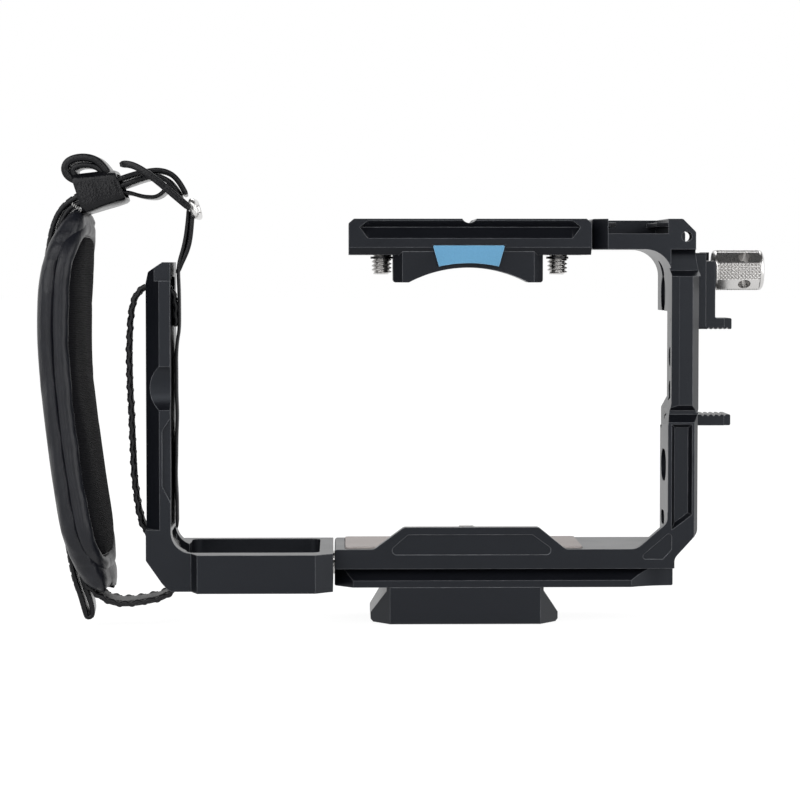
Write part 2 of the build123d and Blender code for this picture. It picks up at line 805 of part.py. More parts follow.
with BuildPart() as camera_screw_ring:
    with BuildSketch(Plane.XY.offset(head_top + 0.1)):
        with Locations((camera_screw_x, 0)):
            Circle(5.2)
            Circle(quarter_thread / 2, mode=Mode.SUBTRACT)
    extrude(amount=0.8)
camera_screw_ring.part.label = "camera_screw_ring"
export_step(camera_screw_ring.part, "parts/camera_screw_ring.step")

with BuildPart() as base_pad:
    with BuildSketch(Plane.XY.offset(base_top - pad_recess)):
        with Locations(((pad_left + pad_right) / 2, (pad_front + pad_back) / 2)):
            RectangleRounded(pad_right - pad_left, pad_back - pad_front, 1.4)
        with Locations((camera_screw_x, 0)):
            Circle(quarter_thread / 2 + 1.6, mode=Mode.SUBTRACT)
    extrude(amount=pad_recess + pad_proud)
base_pad.part.label = "base_pad"
export_step(base_pad.part, "parts/base_pad.step")

with BuildPart() as quick_release_plate:
    with BuildSketch(Plane.XZ.offset(-back)):
        with BuildLine():
            Polyline(
                (-plate_width / 2 + 0.8, 0),
                (-plate_width / 2, 0.8),
                (-plate_width / 2, plate_edge),
                (-plate_neck / 2, plate_height - 1.3),
                (-plate_neck / 2, plate_height),
                (plate_neck / 2, plate_height),
                (plate_neck / 2, plate_height - 1.3),
                (plate_width / 2, plate_edge),
                (plate_width / 2, 0.8),
                (plate_width / 2 - 0.8, 0),
                close=True,
            )
        make_face()
    extrude(amount=cage_depth)
    with BuildSketch(Plane.XY.offset(-1)):
        for x in (-plate_width / 2, plate_width / 2):
            for y in (front, back):
                across = math.copysign(1, x)
                along = math.copysign(1, y)
                with BuildLine():
                    Polyline(
                        (x + across, y + along),
                        (x - across * plate_corner_x, y + along),
                        (x - across * plate_corner_x, y),
                        (x, y - along * plate_corner_y),
                        (x + across, y - along * plate_corner_y),
                        close=True,
                    )
                make_face()
    extrude(amount=plate_height + 2, mode=Mode.SUBTRACT)
    for x in (-plate_screw_x, plate_screw_x):
        cut_cylinder_z(x, 0, -1, plate_height + 1, m3_bore / 2)
        cut_cylinder_z(x, 0, -1, plate_screw_seat, m3_head / 2 + 0.3)
quick_release_plate.part.label = "quick_release_plate"
export_step(quick_release_plate.part, "parts/quick_release_plate.step")

# ---- Side bracket on the grip side ----------------------------------------------------------------
with BuildPart() as side_bracket:
    foot_top = bracket_low + base_height - 0.1
    arm_face = bracket_left + bracket_arm
    arm_back = bracket_arm_front + bracket_arm_depth
    with BuildSketch(Plane.XZ.offset(-bracket_back)):
        with BuildLine():
            FilletPolyline(
                (bracket_left, bracket_low + 9.6),
                (bracket_left, bracket_top - 6.4),
                (bracket_left + 0.8, bracket_top - 3.0),
                (bracket_left + 5.3, bracket_top),
                (arm_face, bracket_top),
                (arm_face, foot_top),
                (bracket_right, foot_top),
                (bracket_right, bracket_low),
                (bracket_left + 8.1, bracket_low),
                (bracket_left + 6.6, bracket_low + 0.7),
                (bracket_left + 4.9, bracket_low + 2.6),
                radius=[1.0, 1.0, 0, 0, 0, bracket_inner_radius, 0, 0, 1.0, 1.0, 1.0],
                close=True,
            )
        make_face()
    extrude(amount=bracket_back - bracket_front)

    # Plan shape: narrower arm, corner facets.
    with BuildSketch(Plane.XY.offset(bracket_low - 1)):
        with BuildLine():
            Polyline(
                (bracket_left - 1, bracket_front - 1),
                (facet_x + 2.1, bracket_front - 1),
                (facet_x + 2.1, bracket_front),
                (facet_x, bracket_arm_front),
                (bracket_left - 1, bracket_arm_front),
                close=True,
            )
        make_face()
        with BuildLine():
            Polyline(
                (bracket_left - 1, arm_back),
                (bracket_left, arm_back),
                (bracket_left + 8.3, bracket_back),
                (bracket_left + 8.3, bracket_back + 1),
                (bracket_left - 1, bracket_back + 1),
                close=True,
            )
        make_face()
        with BuildLine():
            Polyline(
                (bracket_right - 5.4, bracket_front - 1),
                (bracket_right + 1, bracket_front - 1),
                (bracket_right + 1, bracket_front + 5),
                (bracket_right, bracket_front + 5),
                (bracket_right - 5.4, bracket_front),
                close=True,
            )
        make_face()
    extrude(amount=bracket_top, mode=Mode.SUBTRACT)
    cut_box(bracket_left - 1, window_right, arm_back, bracket_back + 1, foot_top, bracket_top + 1)

    # Window for the battery door, and the strap's way out of it.
    with BuildSketch(Plane.XY.offset(bracket_low - 1)):
        with Locations(((window_left + window_right) / 2, (window_front + window_back) / 2)):
            RectangleRounded(window_right - window_left, window_back - window_front, 3.0)
    extrude(amount=base_height + 10, mode=Mode.SUBTRACT)
    strap_room = strap_width / 2 + strap_clearance + 0.4
    cut_box(
        window_left - 4.1, window_left + 2,
        strap_y - strap_room, strap_y + strap_room,
        bracket_low - 1, bracket_low + 20.5,
    )

    # Strap slots through the arm.
    for z in (upper_slot_z, lower_slot_z):
        with BuildSketch(Plane.YZ.offset(bracket_left - 1)):
            with Locations((strap_y, z)):
                RectangleRounded(2 * strap_room, slot_height, 1.9)
        extrude(amount=bracket_arm + 4, mode=Mode.SUBTRACT)

    # Facet down the arm's outer front edge, with the thumb scoop across it.
    with BuildSketch(Plane.XY.offset(bracket_low + 19)):
        for y, turn in ((bracket_arm_front, 1), (arm_back, -1)):
            with BuildLine():
                Polyline(
                    (bracket_left - 1, y - turn),
                    (bracket_left + arm_facet, y - turn),
                    (bracket_left + arm_facet, y),
                    (bracket_left, y + turn * arm_facet),
                    (bracket_left - 1, y + turn * arm_facet),
                    close=True,
                )
            make_face()
    extrude(amount=bracket_top, mode=Mode.SUBTRACT)
    scoop_radius = 9.0
    scoop_depth = 3.0
    cut_cylinder_x(
        bracket_left - 1, arm_face + 1, bracket_arm_front + scoop_depth - scoop_radius, scoop_z, scoop_radius
    )
    cut_box(
        bracket_left - 1, arm_face + 1,
        bracket_arm_front - 1, bracket_arm_front + 1.5,
        bracket_top - 5.8, bracket_top + 1,
    )
    with BuildSketch(Plane.XZ.offset(-bracket_arm_front + 1)):
        with BuildLine():
            FilletPolyline(
                (arm_face + 1, scoop_z - 7.6),
                (arm_face - inner_facet, scoop_z - 13.0),
                (arm_face - inner_facet, inner_facet_low + 3.0),
                (arm_face + 1, inner_facet_low - 4.0),
                radius=[0, 3.0, 3.0, 0],
                close=True,
            )
        make_face()
    extrude(amount=-2.4, mode=Mode.SUBTRACT)

    # Guide-rod sockets and the countersunk screws behind them.
    for y in (-rod_spacing / 2, rod_spacing / 2):
        cut_cylinder_x(window_right - 1, bracket_right + 1, y, rod_z, m3_bore / 2)
        cut_cylinder_x(bracket_right - rod_seat, bracket_right + 1, y, rod_z, rod_radius)
        cut_cylinder_x(window_right - 1, window_right + 1.3, y, rod_z, rod_screw_head + seat_clearance)
side_bracket.part.label = "side_bracket"
export_step(side_bracket.part, "parts/side_bracket.step")

with BuildPart() as guide_rods:
    for y in (-rod_spacing / 2, rod_spacing / 2):
        with BuildSketch(Plane.YZ.offset(bracket_right - rod_seat)):
            with Locations((y, rod_z)):
                Circle(rod_radius)
                Circle(m3_thread / 2, mode=Mode.SUBTRACT)
        extrude(amount=rod_screw_depth)
        with BuildSketch(Plane.YZ.offset(bracket_right - rod_seat + rod_screw_depth)):
            with Locations((y, rod_z)):
                Circle(rod_radius)
        extrude(amount=rod_reach - rod_screw_depth)
guide_rods.part.label = "guide_rods"
export_step(guide_rods.part, "parts/guide_rods.step")

with BuildPart() as rod_screws:
    for y in (-rod_spacing / 2, rod_spacing / 2):
        with BuildSketch(Plane.YZ.offset(window_right)):
            with Locations((y, rod_z)):
                Circle(rod_screw_head)
                RegularPolygon(1.2, 6, mode=Mode.SUBTRACT)
        extrude(amount=1.3)
        with BuildSketch(Plane.YZ.offset(window_right + 1.3)):
            with Locations((y, rod_z)):
                Circle(m3_thread / 2)
        extrude(amount=bracket_right - rod_seat + rod_screw_depth - window_right - 1.4)
rod_screws.part.label = "rod_screws"
export_step(rod_screws.part, "parts/rod_screws.step")

with BuildPart() as bracket_lock_screw:
    with BuildSketch(Plane.XY.offset(base_low + 0.1)):
        with Locations((lock_screw_x, rod_spacing / 2)):
            Circle(lock_screw_radius - turn_clearance)
    extrude(amount=rod_z - rod_radius - base_low - 0.2)
    with BuildSketch(Plane.XY.offset(base_low + 0.1)):
        with Locations((lock_screw_x, rod_spacing / 2)):
            RegularPolygon(1.25, 6)
    extrude(amount=1.8, mode=Mode.SUBTRACT)
bracket_lock_screw.part.label = "bracket_lock_screw"
export_step(bracket_lock_screw.part, "parts/bracket_lock_screw.step")

# ---- Cable clamp on the arm -----------------------------------------------------------------------
with BuildPart() as clamp_track:
    track_out = arm_outside + track_thickness
    with BuildSketch(Plane.YZ.offset(arm_outside)):
        with Locations((clamp_y, clamp_low + track_height / 2)):
            RectangleRounded(clamp_width, track_height, 0.8)
    extrude(amount=track_thickness)
    cheek_y = clamp_y + clamp_width / 2 - cheek
    with BuildSketch(Plane.XY.offset(clamp_low)):
        with Locations((track_out + cheek_reach / 2 - 0.1, cheek_y + cheek / 2)):
            Rectangle(cheek_reach + 0.2, cheek)
    extrude(amount=track_height + 0.2)
    cut_cylinder_x(arm_outside - 1, track_out + 1, clamp_y, knob_z, stud_radius + turn_clearance)
    for y in clamp_screw_y:
        cut_cylinder_x(arm_outside - 1, track_out - 1, y, track_screw_z, m3_thread / 2)
clamp_track.part.label = "clamp_track"
export_step(clamp_track.part, "parts/clamp_track.step")

with BuildPart() as upper_jaw:
    jaw_in = track_out
    jaw_front = clamp_y - clamp_width / 2
    jaw_depth = clamp_width - cheek - 0.1
    with BuildSketch(Plane.XZ.offset(-jaw_front)):
        with BuildLine():
            FilletPolyline(
                (jaw_in, clamp_low),
                (jaw_in, clamp_low + jaw_height),
                (jaw_in + jaw_thickness, clamp_low + jaw_height),
                (jaw_in + jaw_thickness, clamp_low + jaw_foot),
                (jaw_in + jaw_reach, clamp_low + jaw_foot),
                (jaw_in + jaw_reach, clamp_low),
                radius=[0, 0, 0.6, 0.6, 0.5, 0.4],
                close=True,
            )
        make_face()
    extrude(amount=-jaw_depth)
    slot_half = stud_radius + 0.25
    with BuildSketch(Plane.YZ.offset(jaw_in - 1)):
        with BuildLine():
            Polyline(
                (clamp_y - slot_half, knob_z),
                (clamp_y - slot_half, knob_z - jaw_travel - 0.2),
                (clamp_y + slot_half, knob_z - jaw_travel - 0.2),
                (clamp_y + slot_half, knob_z),
                close=True,
            )
        make_face()
        with Locations((clamp_y, knob_z), (clamp_y, knob_z - jaw_travel - 0.2)):
            Circle(slot_half)
    extrude(amount=jaw_thickness + 2, mode=Mode.SUBTRACT)
    cut_box(
        jaw_in + jaw_tip, jaw_in + jaw_reach + 1,
        jaw_front - 1, jaw_front + jaw_tip_set,
        clamp_low - 1, clamp_low + jaw_foot + 1,
    )
    tooth_count = 5
    with BuildSketch(Plane.XZ.offset(-jaw_front + 1)):
        for i in range(tooth_count):
            x = jaw_in + 0.3 + i * tooth_pitch * 0.85
            with BuildLine():
                Polyline(
                    (x, clamp_low - 0.1),
                    (x + 0.6, clamp_low + tooth_height),
                    (x + 1.2, clamp_low - 0.1),
                    close=True,
                )
            make_face()
    extrude(amount=-jaw_depth - 2, mode=Mode.SUBTRACT)
upper_jaw.part.label = "upper_jaw"
export_step(upper_jaw.part, "parts/upper_jaw.step")

with BuildPart() as lower_jaw:
    jaw_low = lower_jaw_top - lower_jaw_thickness + 0.35
    with BuildSketch(Plane.XZ.offset(-jaw_front)):
        with BuildLine():
            FilletPolyline(
                (low_arm_outside, jaw_low),
                (low_arm_outside, lower_jaw_top),
                (low_arm_outside + lower_jaw_reach, lower_jaw_top),
                (low_arm_outside + lower_jaw_reach, jaw_low),
                radius=[0, 0, 0.5, 0.5],
                close=True,
            )
        make_face()
    extrude(amount=-clamp_width)
    cut_box(
        jaw_in + jaw_tip, low_arm_outside + lower_jaw_reach + 1,
        jaw_front - 1, jaw_front + jaw_tip_set,
        jaw_low - 1, lower_jaw_top + 1,
    )
    with BuildSketch(Plane.XZ.offset(-jaw_front + 1)):
        for i in range(tooth_count):
            x = low_arm_outside + lower_jaw_reach - 1.9 - i * tooth_pitch
            with BuildLine():
                Polyline(
                    (x - 0.7, lower_jaw_top + 0.1),
                    (x, lower_jaw_top - tooth_height),
                    (x + 0.7, lower_jaw_top + 0.1),
                    close=True,
                )
            make_face()
    extrude(amount=-clamp_width - 2, mode=Mode.SUBTRACT)
    for y in clamp_screw_y:
        cut_cylinder_x(low_arm_outside - 1, low_arm_outside + 5.5, y, lower_jaw_z, jaw_screw_radius)
lower_jaw.part.label = "lower_jaw"
export_step(lower_jaw.part, "parts/lower_jaw.step")

with BuildPart() as lower_jaw_screws:
    for y in clamp_screw_y:
        with BuildSketch(Plane.YZ.offset(jaw_screw_seat - jaw_screw_head_height)):
            with Locations((y, lower_jaw_z)):
                Circle(jaw_screw_head)
                RegularPolygon(1.1, 6, mode=Mode.SUBTRACT)
        extrude(amount=jaw_screw_head_height)
        with BuildSketch(Plane.YZ.offset(jaw_screw_seat)):
            with Locations((y, lower_jaw_z)):
                Circle(jaw_screw_radius)
        extrude(amount=low_arm_outside + 5.3 - jaw_screw_seat)
lower_jaw_screws.part.label = "lower_jaw_screws"
export_step(lower_jaw_screws.part, "parts/lower_jaw_screws.step")

with BuildPart() as clamp_track_screws:
    seat = arm_inside + arm_pocket_depth
    for y in clamp_screw_y:
        with BuildSketch(Plane.YZ.offset(seat)):
            with Locations((y, track_screw_z)):
                Circle(m3_head / 2)
                RegularPolygon(1.3, 6, mode=Mode.SUBTRACT)
        extrude(amount=m3_head_height)
        with BuildSketch(Plane.YZ.offset(seat + m3_head_height)):
            with Locations((y, track_screw_z)):
                Circle(m3_thread / 2)
        extrude(amount=track_out - 1.1 - seat - m3_head_height)
clamp_track_screws.part.label = "clamp_track_screws"
export_step(clamp_track_screws.part, "parts/clamp_track_screws.step")

with BuildPart() as knob_washer:
    with BuildSketch(Plane.YZ.offset(jaw_in + jaw_thickness)):
        with Locations((clamp_y, knob_z)):
            Circle(washer_radius)
            Circle(stud_radius, mode=Mode.SUBTRACT)
    extrude(amount=washer_thickness)
knob_washer.part.label = "knob_washer"
export_step(knob_washer.part, "parts/knob_washer.step")

with BuildPart() as knob:
    knob_in = jaw_in + jaw_thickness + slide_clearance
    washer_out = jaw_in + jaw_thickness + washer_thickness
    with BuildSketch(Plane.XY.offset(knob_z)):
        with BuildLine():
            Polyline(
                (arm_inside + 0.6, clamp_y),
                (arm_inside + 0.6, clamp_y + stud_radius - 0.5),
                (arm_inside + 1.1, clamp_y + stud_radius),
                (washer_out, clamp_y + stud_radius),
                (washer_out, clamp_y + washer_radius + seat_clearance),
                (knob_in, clamp_y + washer_radius + seat_clearance),
                (knob_in, clamp_y + knob_radius - 0.5),
                (knob_in + 0.5, clamp_y + knob_radius),
                (knob_in + knob_length - 0.8, clamp_y + knob_radius),
                (knob_in + knob_length, clamp_y + knob_radius - 0.8),
                (knob_in + knob_length, clamp_y),
                close=True,
            )
        make_face()
    revolve(axis=Axis((0, clamp_y, knob_z), (1, 0, 0)))
    for turn, bar_bore in ((45, knob_bar_bore), (-45, knob_bar_bore - 0.1)):
        with Locations((knob_in + knob_bar_x, clamp_y, knob_z)):
            Cylinder(bar_bore, 3 * knob_radius, rotation=(turn, 0, 0), mode=Mode.SUBTRACT)
knob.part.label = "knob"
export_step(knob.part, "parts/knob.step")

# ---- Hidden screws ----------------------------------------------------------------------------------
with BuildPart() as rail_plate_screws:
    for y in tongue_screw_y:
        with BuildSketch(Plane.XY.offset(bar_low)):
            with Locations((tongue_screw_x, y)):
                Circle(m3_head / 2)
                RegularPolygon(1.3, 6, mode=Mode.SUBTRACT)
        extrude(amount=m3_head_height)
        with BuildSketch(Plane.XY.offset(bar_low + m3_head_height)):
            with Locations((tongue_screw_x, y)):
                Circle(m3_thread / 2)
        extrude(amount=tongue_height + 3.0 - m3_head_height)
rail_plate_screws.part.label = "rail_plate_screws"
export_step(rail_plate_screws.part, "parts/rail_plate_screws.step")

with BuildPart() as block_screws:
    seat = rail_top - m3_head_height - 0.3
    for x in block_screw_x:
        with BuildSketch(Plane.XY.offset(seat)):
            with Locations((x, block_screw_y)):
                Circle(m3_head / 2)
        extrude(amount=m3_head_height)
        with BuildSketch(Plane.XY.offset(seat + m3_head_height)):
            with Locations((x, block_screw_y)):
                RegularPolygon(1.3, 6)
        extrude(amount=-1.3, mode=Mode.SUBTRACT)
        with BuildSketch(Plane.XY.offset(seat)):
            with Locations((x, block_screw_y)):
                Circle(m3_thread / 2)
        extrude(amount=rail_low - 4.8 - seat)
block_screws.part.label = "block_screws"
export_step(block_screws.part, "parts/block_screws.step")

with BuildPart() as plate_screws:
    for x in (-plate_screw_x, plate_screw_x):
        with BuildSketch(Plane.XY.offset(plate_screw_seat)):
            with Locations((x, 0)):
                Circle(m3_head / 2)
        extrude(amount=-m3_head_height)
        with BuildSketch(Plane.XY.offset(plate_screw_seat - m3_head_height)):
            with Locations((x, 0)):
                RegularPolygon(1.3, 6)
        extrude(amount=1.3, mode=Mode.SUBTRACT)
        with BuildSketch(Plane.XY.offset(plate_screw_seat)):
            with Locations((x, 0)):
                Circle(m3_thread / 2)
        extrude(amount=plate_screw_length)
plate_screws.part.label = "plate_screws"
export_step(plate_screws.part, "parts/plate_screws.step")

# ---- Hand strap: flat leather straps on edge, seen from the lens side --------------------------------


def strap(points, thickness, bend, y=strap_y, width=strap_width):
    """A flat strap that follows a centre line in X and Z, laid across Y."""
    with BuildPart() as strip:
        with BuildSketch(Plane.XZ.offset(-y)):
            with BuildLine():
                FilletPolyline(*points, radius=bend)
            trace(line_width=thickness)
        extrude(amount=width / 2, both=True)
    return strip


stitched_strap = strap(
    (
        (-90.2, 92.5),
        (-90.2, upper_slot_z),
        (-100.2, upper_slot_z - 0.2),
        (-104.4, 100.0),
        (-104.4, 80.0),
        (-102.6, 39.0),
        (-99.6, lower_slot_z - 0.3),
        (-89.2, lower_slot_z - 1.0),
        (-89.2, 9.8),
        (-105.3, 6.6),
        (-114.6, 10.6),
    ),
    strap_thickness - 0.4,
    [1.0, 4.0, 4.0, 30.0, 6.0, 3.0, 1.5, 4.0, 12.0],
)
stitched_strap.part.label = "stitched_strap"
export_step(stitched_strap.part, "parts/stitched_strap.step")

drop_x = bracket_left + bracket_arm + 0.9
strap_drop = strap(
    (
        (slider_x - 2.3, slider_z - 0.8),
        (slider_x - 2.4, slider_z - 8.4),
        (drop_x + 1.6, bracket_top - 0.9),
        (drop_x + 1.6, bracket_top - 20.0),
        (drop_x - 0.1, bracket_top - 26.0),
        (drop_x + 0.3, 64.0),
        (drop_x - 0.1, 46.0),
        (drop_x + 0.2, lower_slot_z + 3.0),
    ),
    strap_thickness - 0.8,
    [12.0, 12.0, 10.0, 10.0, 40.0, 40.0],
)
strap_drop.part.label = "strap_drop"
export_step(strap_drop.part, "parts/strap_drop.step")

pad_strap = strap(
    (
        (-86.7, 133.6),
        (-88.5, 137.6),
        (-92.4, 141.2),
        (-98.3, 141.4),
        (-119.8, 134.2),
        (-127.6, 127.6),
        (-132.0, 101.0),
        (-131.6, 84.0),
        (-125.9, 36.0),
        (-121.9, 17.0),
        (-118.9, 3.0),
        (-116.8, 3.0),
        (-117.4, 8.0),
        (-119.2, 13.6),
    ),
    strap_thickness - 0.3,
    [6.0, 5.0, 5.0, 14.0, 14.0, 20.0, 40.0, 40.0, 30.0, 1.0, 1.0, 6.0],
)
pad_strap.part.label = "pad_strap"
export_step(pad_strap.part, "parts/pad_strap.step")

strap_inner = strap(
    ((-88.5, 132.6), (-90.2, 136.0), (-93.4, 139.2), (-98.0, 139.4), (-117.6, 132.75)),
    strap_thickness - 0.3,
    [4.0, 4.0, 5.0],
)
strap_inner.part.label = "strap_inner"
export_step(strap_inner.part, "parts/strap_inner.step")

folded_loop = strap(
    (
        (-118.0, 137.9),
        (-121.8, 136.4),
        (-124.8, 139.0),
        (-122.6, 143.6),
        (-118.0, 145.0),
        (-113.6, 144.6),
        (-110.6, 142.9),
    ),
    strap_thickness,
    [1.8, 2.4, 2.4, 3.0, 2.0],
)
folded_loop.part.label = "folded_loop"
export_step(folded_loop.part, "parts/folded_loop.step")

loose_loop = strap(
    ((-108.4, 133.9), (-105.6, 134.8), (-99.5, 132.9), (-94.4, 133.0), (-92.4, 136.2)),
    strap_thickness - 0.7,
    [2.0, 4.0, 3.0],
)
loose_loop.part.label = "loose_loop"
export_step(loose_loop.part, "parts/loose_loop.step")

strap_tail = strap(
    ((-84.6, 129.2), (-98.8, 141.0), (-104.0, 143.2), (-105.8, 142.5)),
    strap_thickness + 0.3,
    [6.0, 1.5],
    y=strap_y - slider_width / 2 - 4.0,
    width=7.6,
)
strap_tail.part.label = "strap_tail"
export_step(strap_tail.part, "parts/strap_tail.step")

with BuildPart() as keeper_sleeve:
    with BuildSketch(Plane.XZ.offset(-strap_y)):
        with BuildLine():
            Polyline((-121.9, 140.0), (-109.4, 141.4), (-105.3, 132.2), (-117.6, 127.9), close=True)
        make_face()
    extrude(amount=strap_width / 2 + 2.0, both=True)
    with BuildSketch(Plane.XZ.offset(-strap_y)):
        with BuildLine():
            Polyline((-124.0, 138.8), (-107.0, 140.7), (-103.0, 134.0), (-120.0, 128.0), close=True)
        make_face()
    extrude(amount=strap_width / 2 + 0.6, both=True, mode=Mode.SUBTRACT)
keeper_sleeve.part.label = "keeper_sleeve"
export_step(keeper_sleeve.part, "parts/keeper_sleeve.step")

with BuildPart() as strap_slider:
    slider_plane = Plane(origin=(slider_x, strap_y, slider_z), x_dir=(0, 1, 0), z_dir=(0.96, 0, 0.28))
    with BuildSketch(slider_plane):
        RectangleRounded(slider_width, slider_height, 2.2)
        inner_width = slider_width - 2 * slider_wire
        RectangleRounded(inner_width, slider_height - 2 * slider_wire, 0.9, mode=Mode.SUBTRACT)
    extrude(amount=slider_wire / 2, both=True)
strap_slider.part.label = "strap_slider"
export_step(strap_slider.part, "parts/strap_slider.step")

# ---- Hand pad ---------------------------------------------------------------------------------------
pad_turn = math.radians(pad_yaw)
pad_across = (math.cos(pad_turn), -math.sin(pad_turn), 0)
pad_plane = Plane(
    origin=(pad_x, strap_y, 0),
    x_dir=pad_across,
    z_dir=(-math.sin(pad_turn), -math.cos(pad_turn), 0),
)
pad_side = Plane(
    origin=(pad_x, strap_y, 0),
    x_dir=(math.sin(pad_turn), math.cos(pad_turn), 0),
    z_dir=pad_across,
)
with BuildPart() as hand_pad:
    with BuildSketch(pad_plane):
        with BuildLine():
            Spline(*[(x - pad_x, z) for x, z in pad_outer])
            Line((pad_outer[-1][0] - pad_x, pad_outer[-1][1]), (pad_inner[0][0] - pad_x, pad_inner[0][1]))
            Spline(*[(x - pad_x, z) for x, z in pad_inner])
            Line((pad_inner[-1][0] - pad_x, pad_inner[-1][1]), (pad_outer[0][0] - pad_x, pad_outer[0][1]))
        make_face()
    extrude(amount=hand_pad_width / 2, both=True)
    with BuildSketch(pad_side) as pad_outline:
        with BuildLine():
            FilletPolyline(
                (-pad_end_width / 2, pad_bottom - 1),
                (-hand_pad_width / 2, pad_bottom + 26),
                (-hand_pad_width / 2, pad_top - 26),
                (-pad_end_width / 2, pad_top + 1),
                (pad_end_width / 2, pad_top + 1),
                (hand_pad_width / 2, pad_top - 26),
                (hand_pad_width / 2, pad_bottom + 26),
                (pad_end_width / 2, pad_bottom - 1),
                radius=[0, 16, 16, 0, 0, 16, 16, 0],
                close=True,
            )
        make_face()
    extrude(amount=40, both=True, mode=Mode.INTERSECT)
hand_pad.part.label = "hand_pad"
export_step(hand_pad.part, "parts/hand_pad.step")

with BuildPart() as pad_lining:
    lining_outer = [(x - pad_x + 0.1, z) for x, z in pad_inner[1:-1]]
    lining_inner = [(x + lining_thickness, z) for x, z in reversed(lining_outer)]
    with BuildSketch(pad_plane):
        with BuildLine():
            Spline(*lining_outer)
            Line(lining_outer[-1], lining_inner[0])
            Spline(*lining_inner)
            Line(lining_inner[-1], lining_outer[0])
        make_face()
    extrude(amount=hand_pad_width / 2, both=True)
    with BuildSketch(pad_side):
        with Locations((0, (pad_inner[1][1] + pad_inner[-2][1]) / 2)):
            RectangleRounded(hand_pad_width - 5, pad_inner[-2][1] - pad_inner[1][1] - 1, 14)
    extrude(amount=40, both=True, mode=Mode.INTERSECT)
pad_lining.part.label = "pad_lining"
export_step(pad_lining.part, "parts/pad_lining.step")
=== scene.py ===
import json
import math
import random

import bmesh
import bpy
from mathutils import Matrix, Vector


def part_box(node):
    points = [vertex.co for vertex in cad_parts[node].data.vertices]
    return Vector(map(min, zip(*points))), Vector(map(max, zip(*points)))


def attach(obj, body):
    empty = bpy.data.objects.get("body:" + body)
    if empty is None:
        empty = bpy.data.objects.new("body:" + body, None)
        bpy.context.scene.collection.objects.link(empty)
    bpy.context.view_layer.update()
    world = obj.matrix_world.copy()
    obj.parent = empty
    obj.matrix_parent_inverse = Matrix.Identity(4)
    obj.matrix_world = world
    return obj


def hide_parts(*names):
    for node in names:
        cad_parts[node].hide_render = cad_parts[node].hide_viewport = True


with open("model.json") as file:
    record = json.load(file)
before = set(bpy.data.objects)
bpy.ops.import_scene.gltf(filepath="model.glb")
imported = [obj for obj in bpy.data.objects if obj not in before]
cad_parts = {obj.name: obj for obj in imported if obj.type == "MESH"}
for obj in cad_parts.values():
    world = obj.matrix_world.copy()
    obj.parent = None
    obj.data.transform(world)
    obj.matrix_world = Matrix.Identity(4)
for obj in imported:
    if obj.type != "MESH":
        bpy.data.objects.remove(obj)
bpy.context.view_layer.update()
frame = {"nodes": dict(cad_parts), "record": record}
nodes = frame["nodes"]
MM = 0.001
FULL_TURN = 6.2832
rng = random.Random(7)

# ---- Camera ----------------------------------------------------------------------------------------
CAMERA_AT = Vector((-39.0, -900.0, 112.0)) * MM
CAMERA_AIM = Vector((-20.4, -20.0, 70.1)) * MM
CAMERA_ANGLE = math.radians(16.07)


def make_camera():
    data = bpy.data.cameras.new("camera")
    data.sensor_fit = "HORIZONTAL"
    data.angle = CAMERA_ANGLE
    data.clip_start = 0.01
    data.clip_end = 50
    camera = bpy.data.objects.new("camera", data)
    camera.location = CAMERA_AT
    camera.rotation_euler = (CAMERA_AIM - CAMERA_AT).to_track_quat("-Z", "Y").to_euler()
    bpy.context.scene.collection.objects.link(camera)
    bpy.context.scene.camera = camera


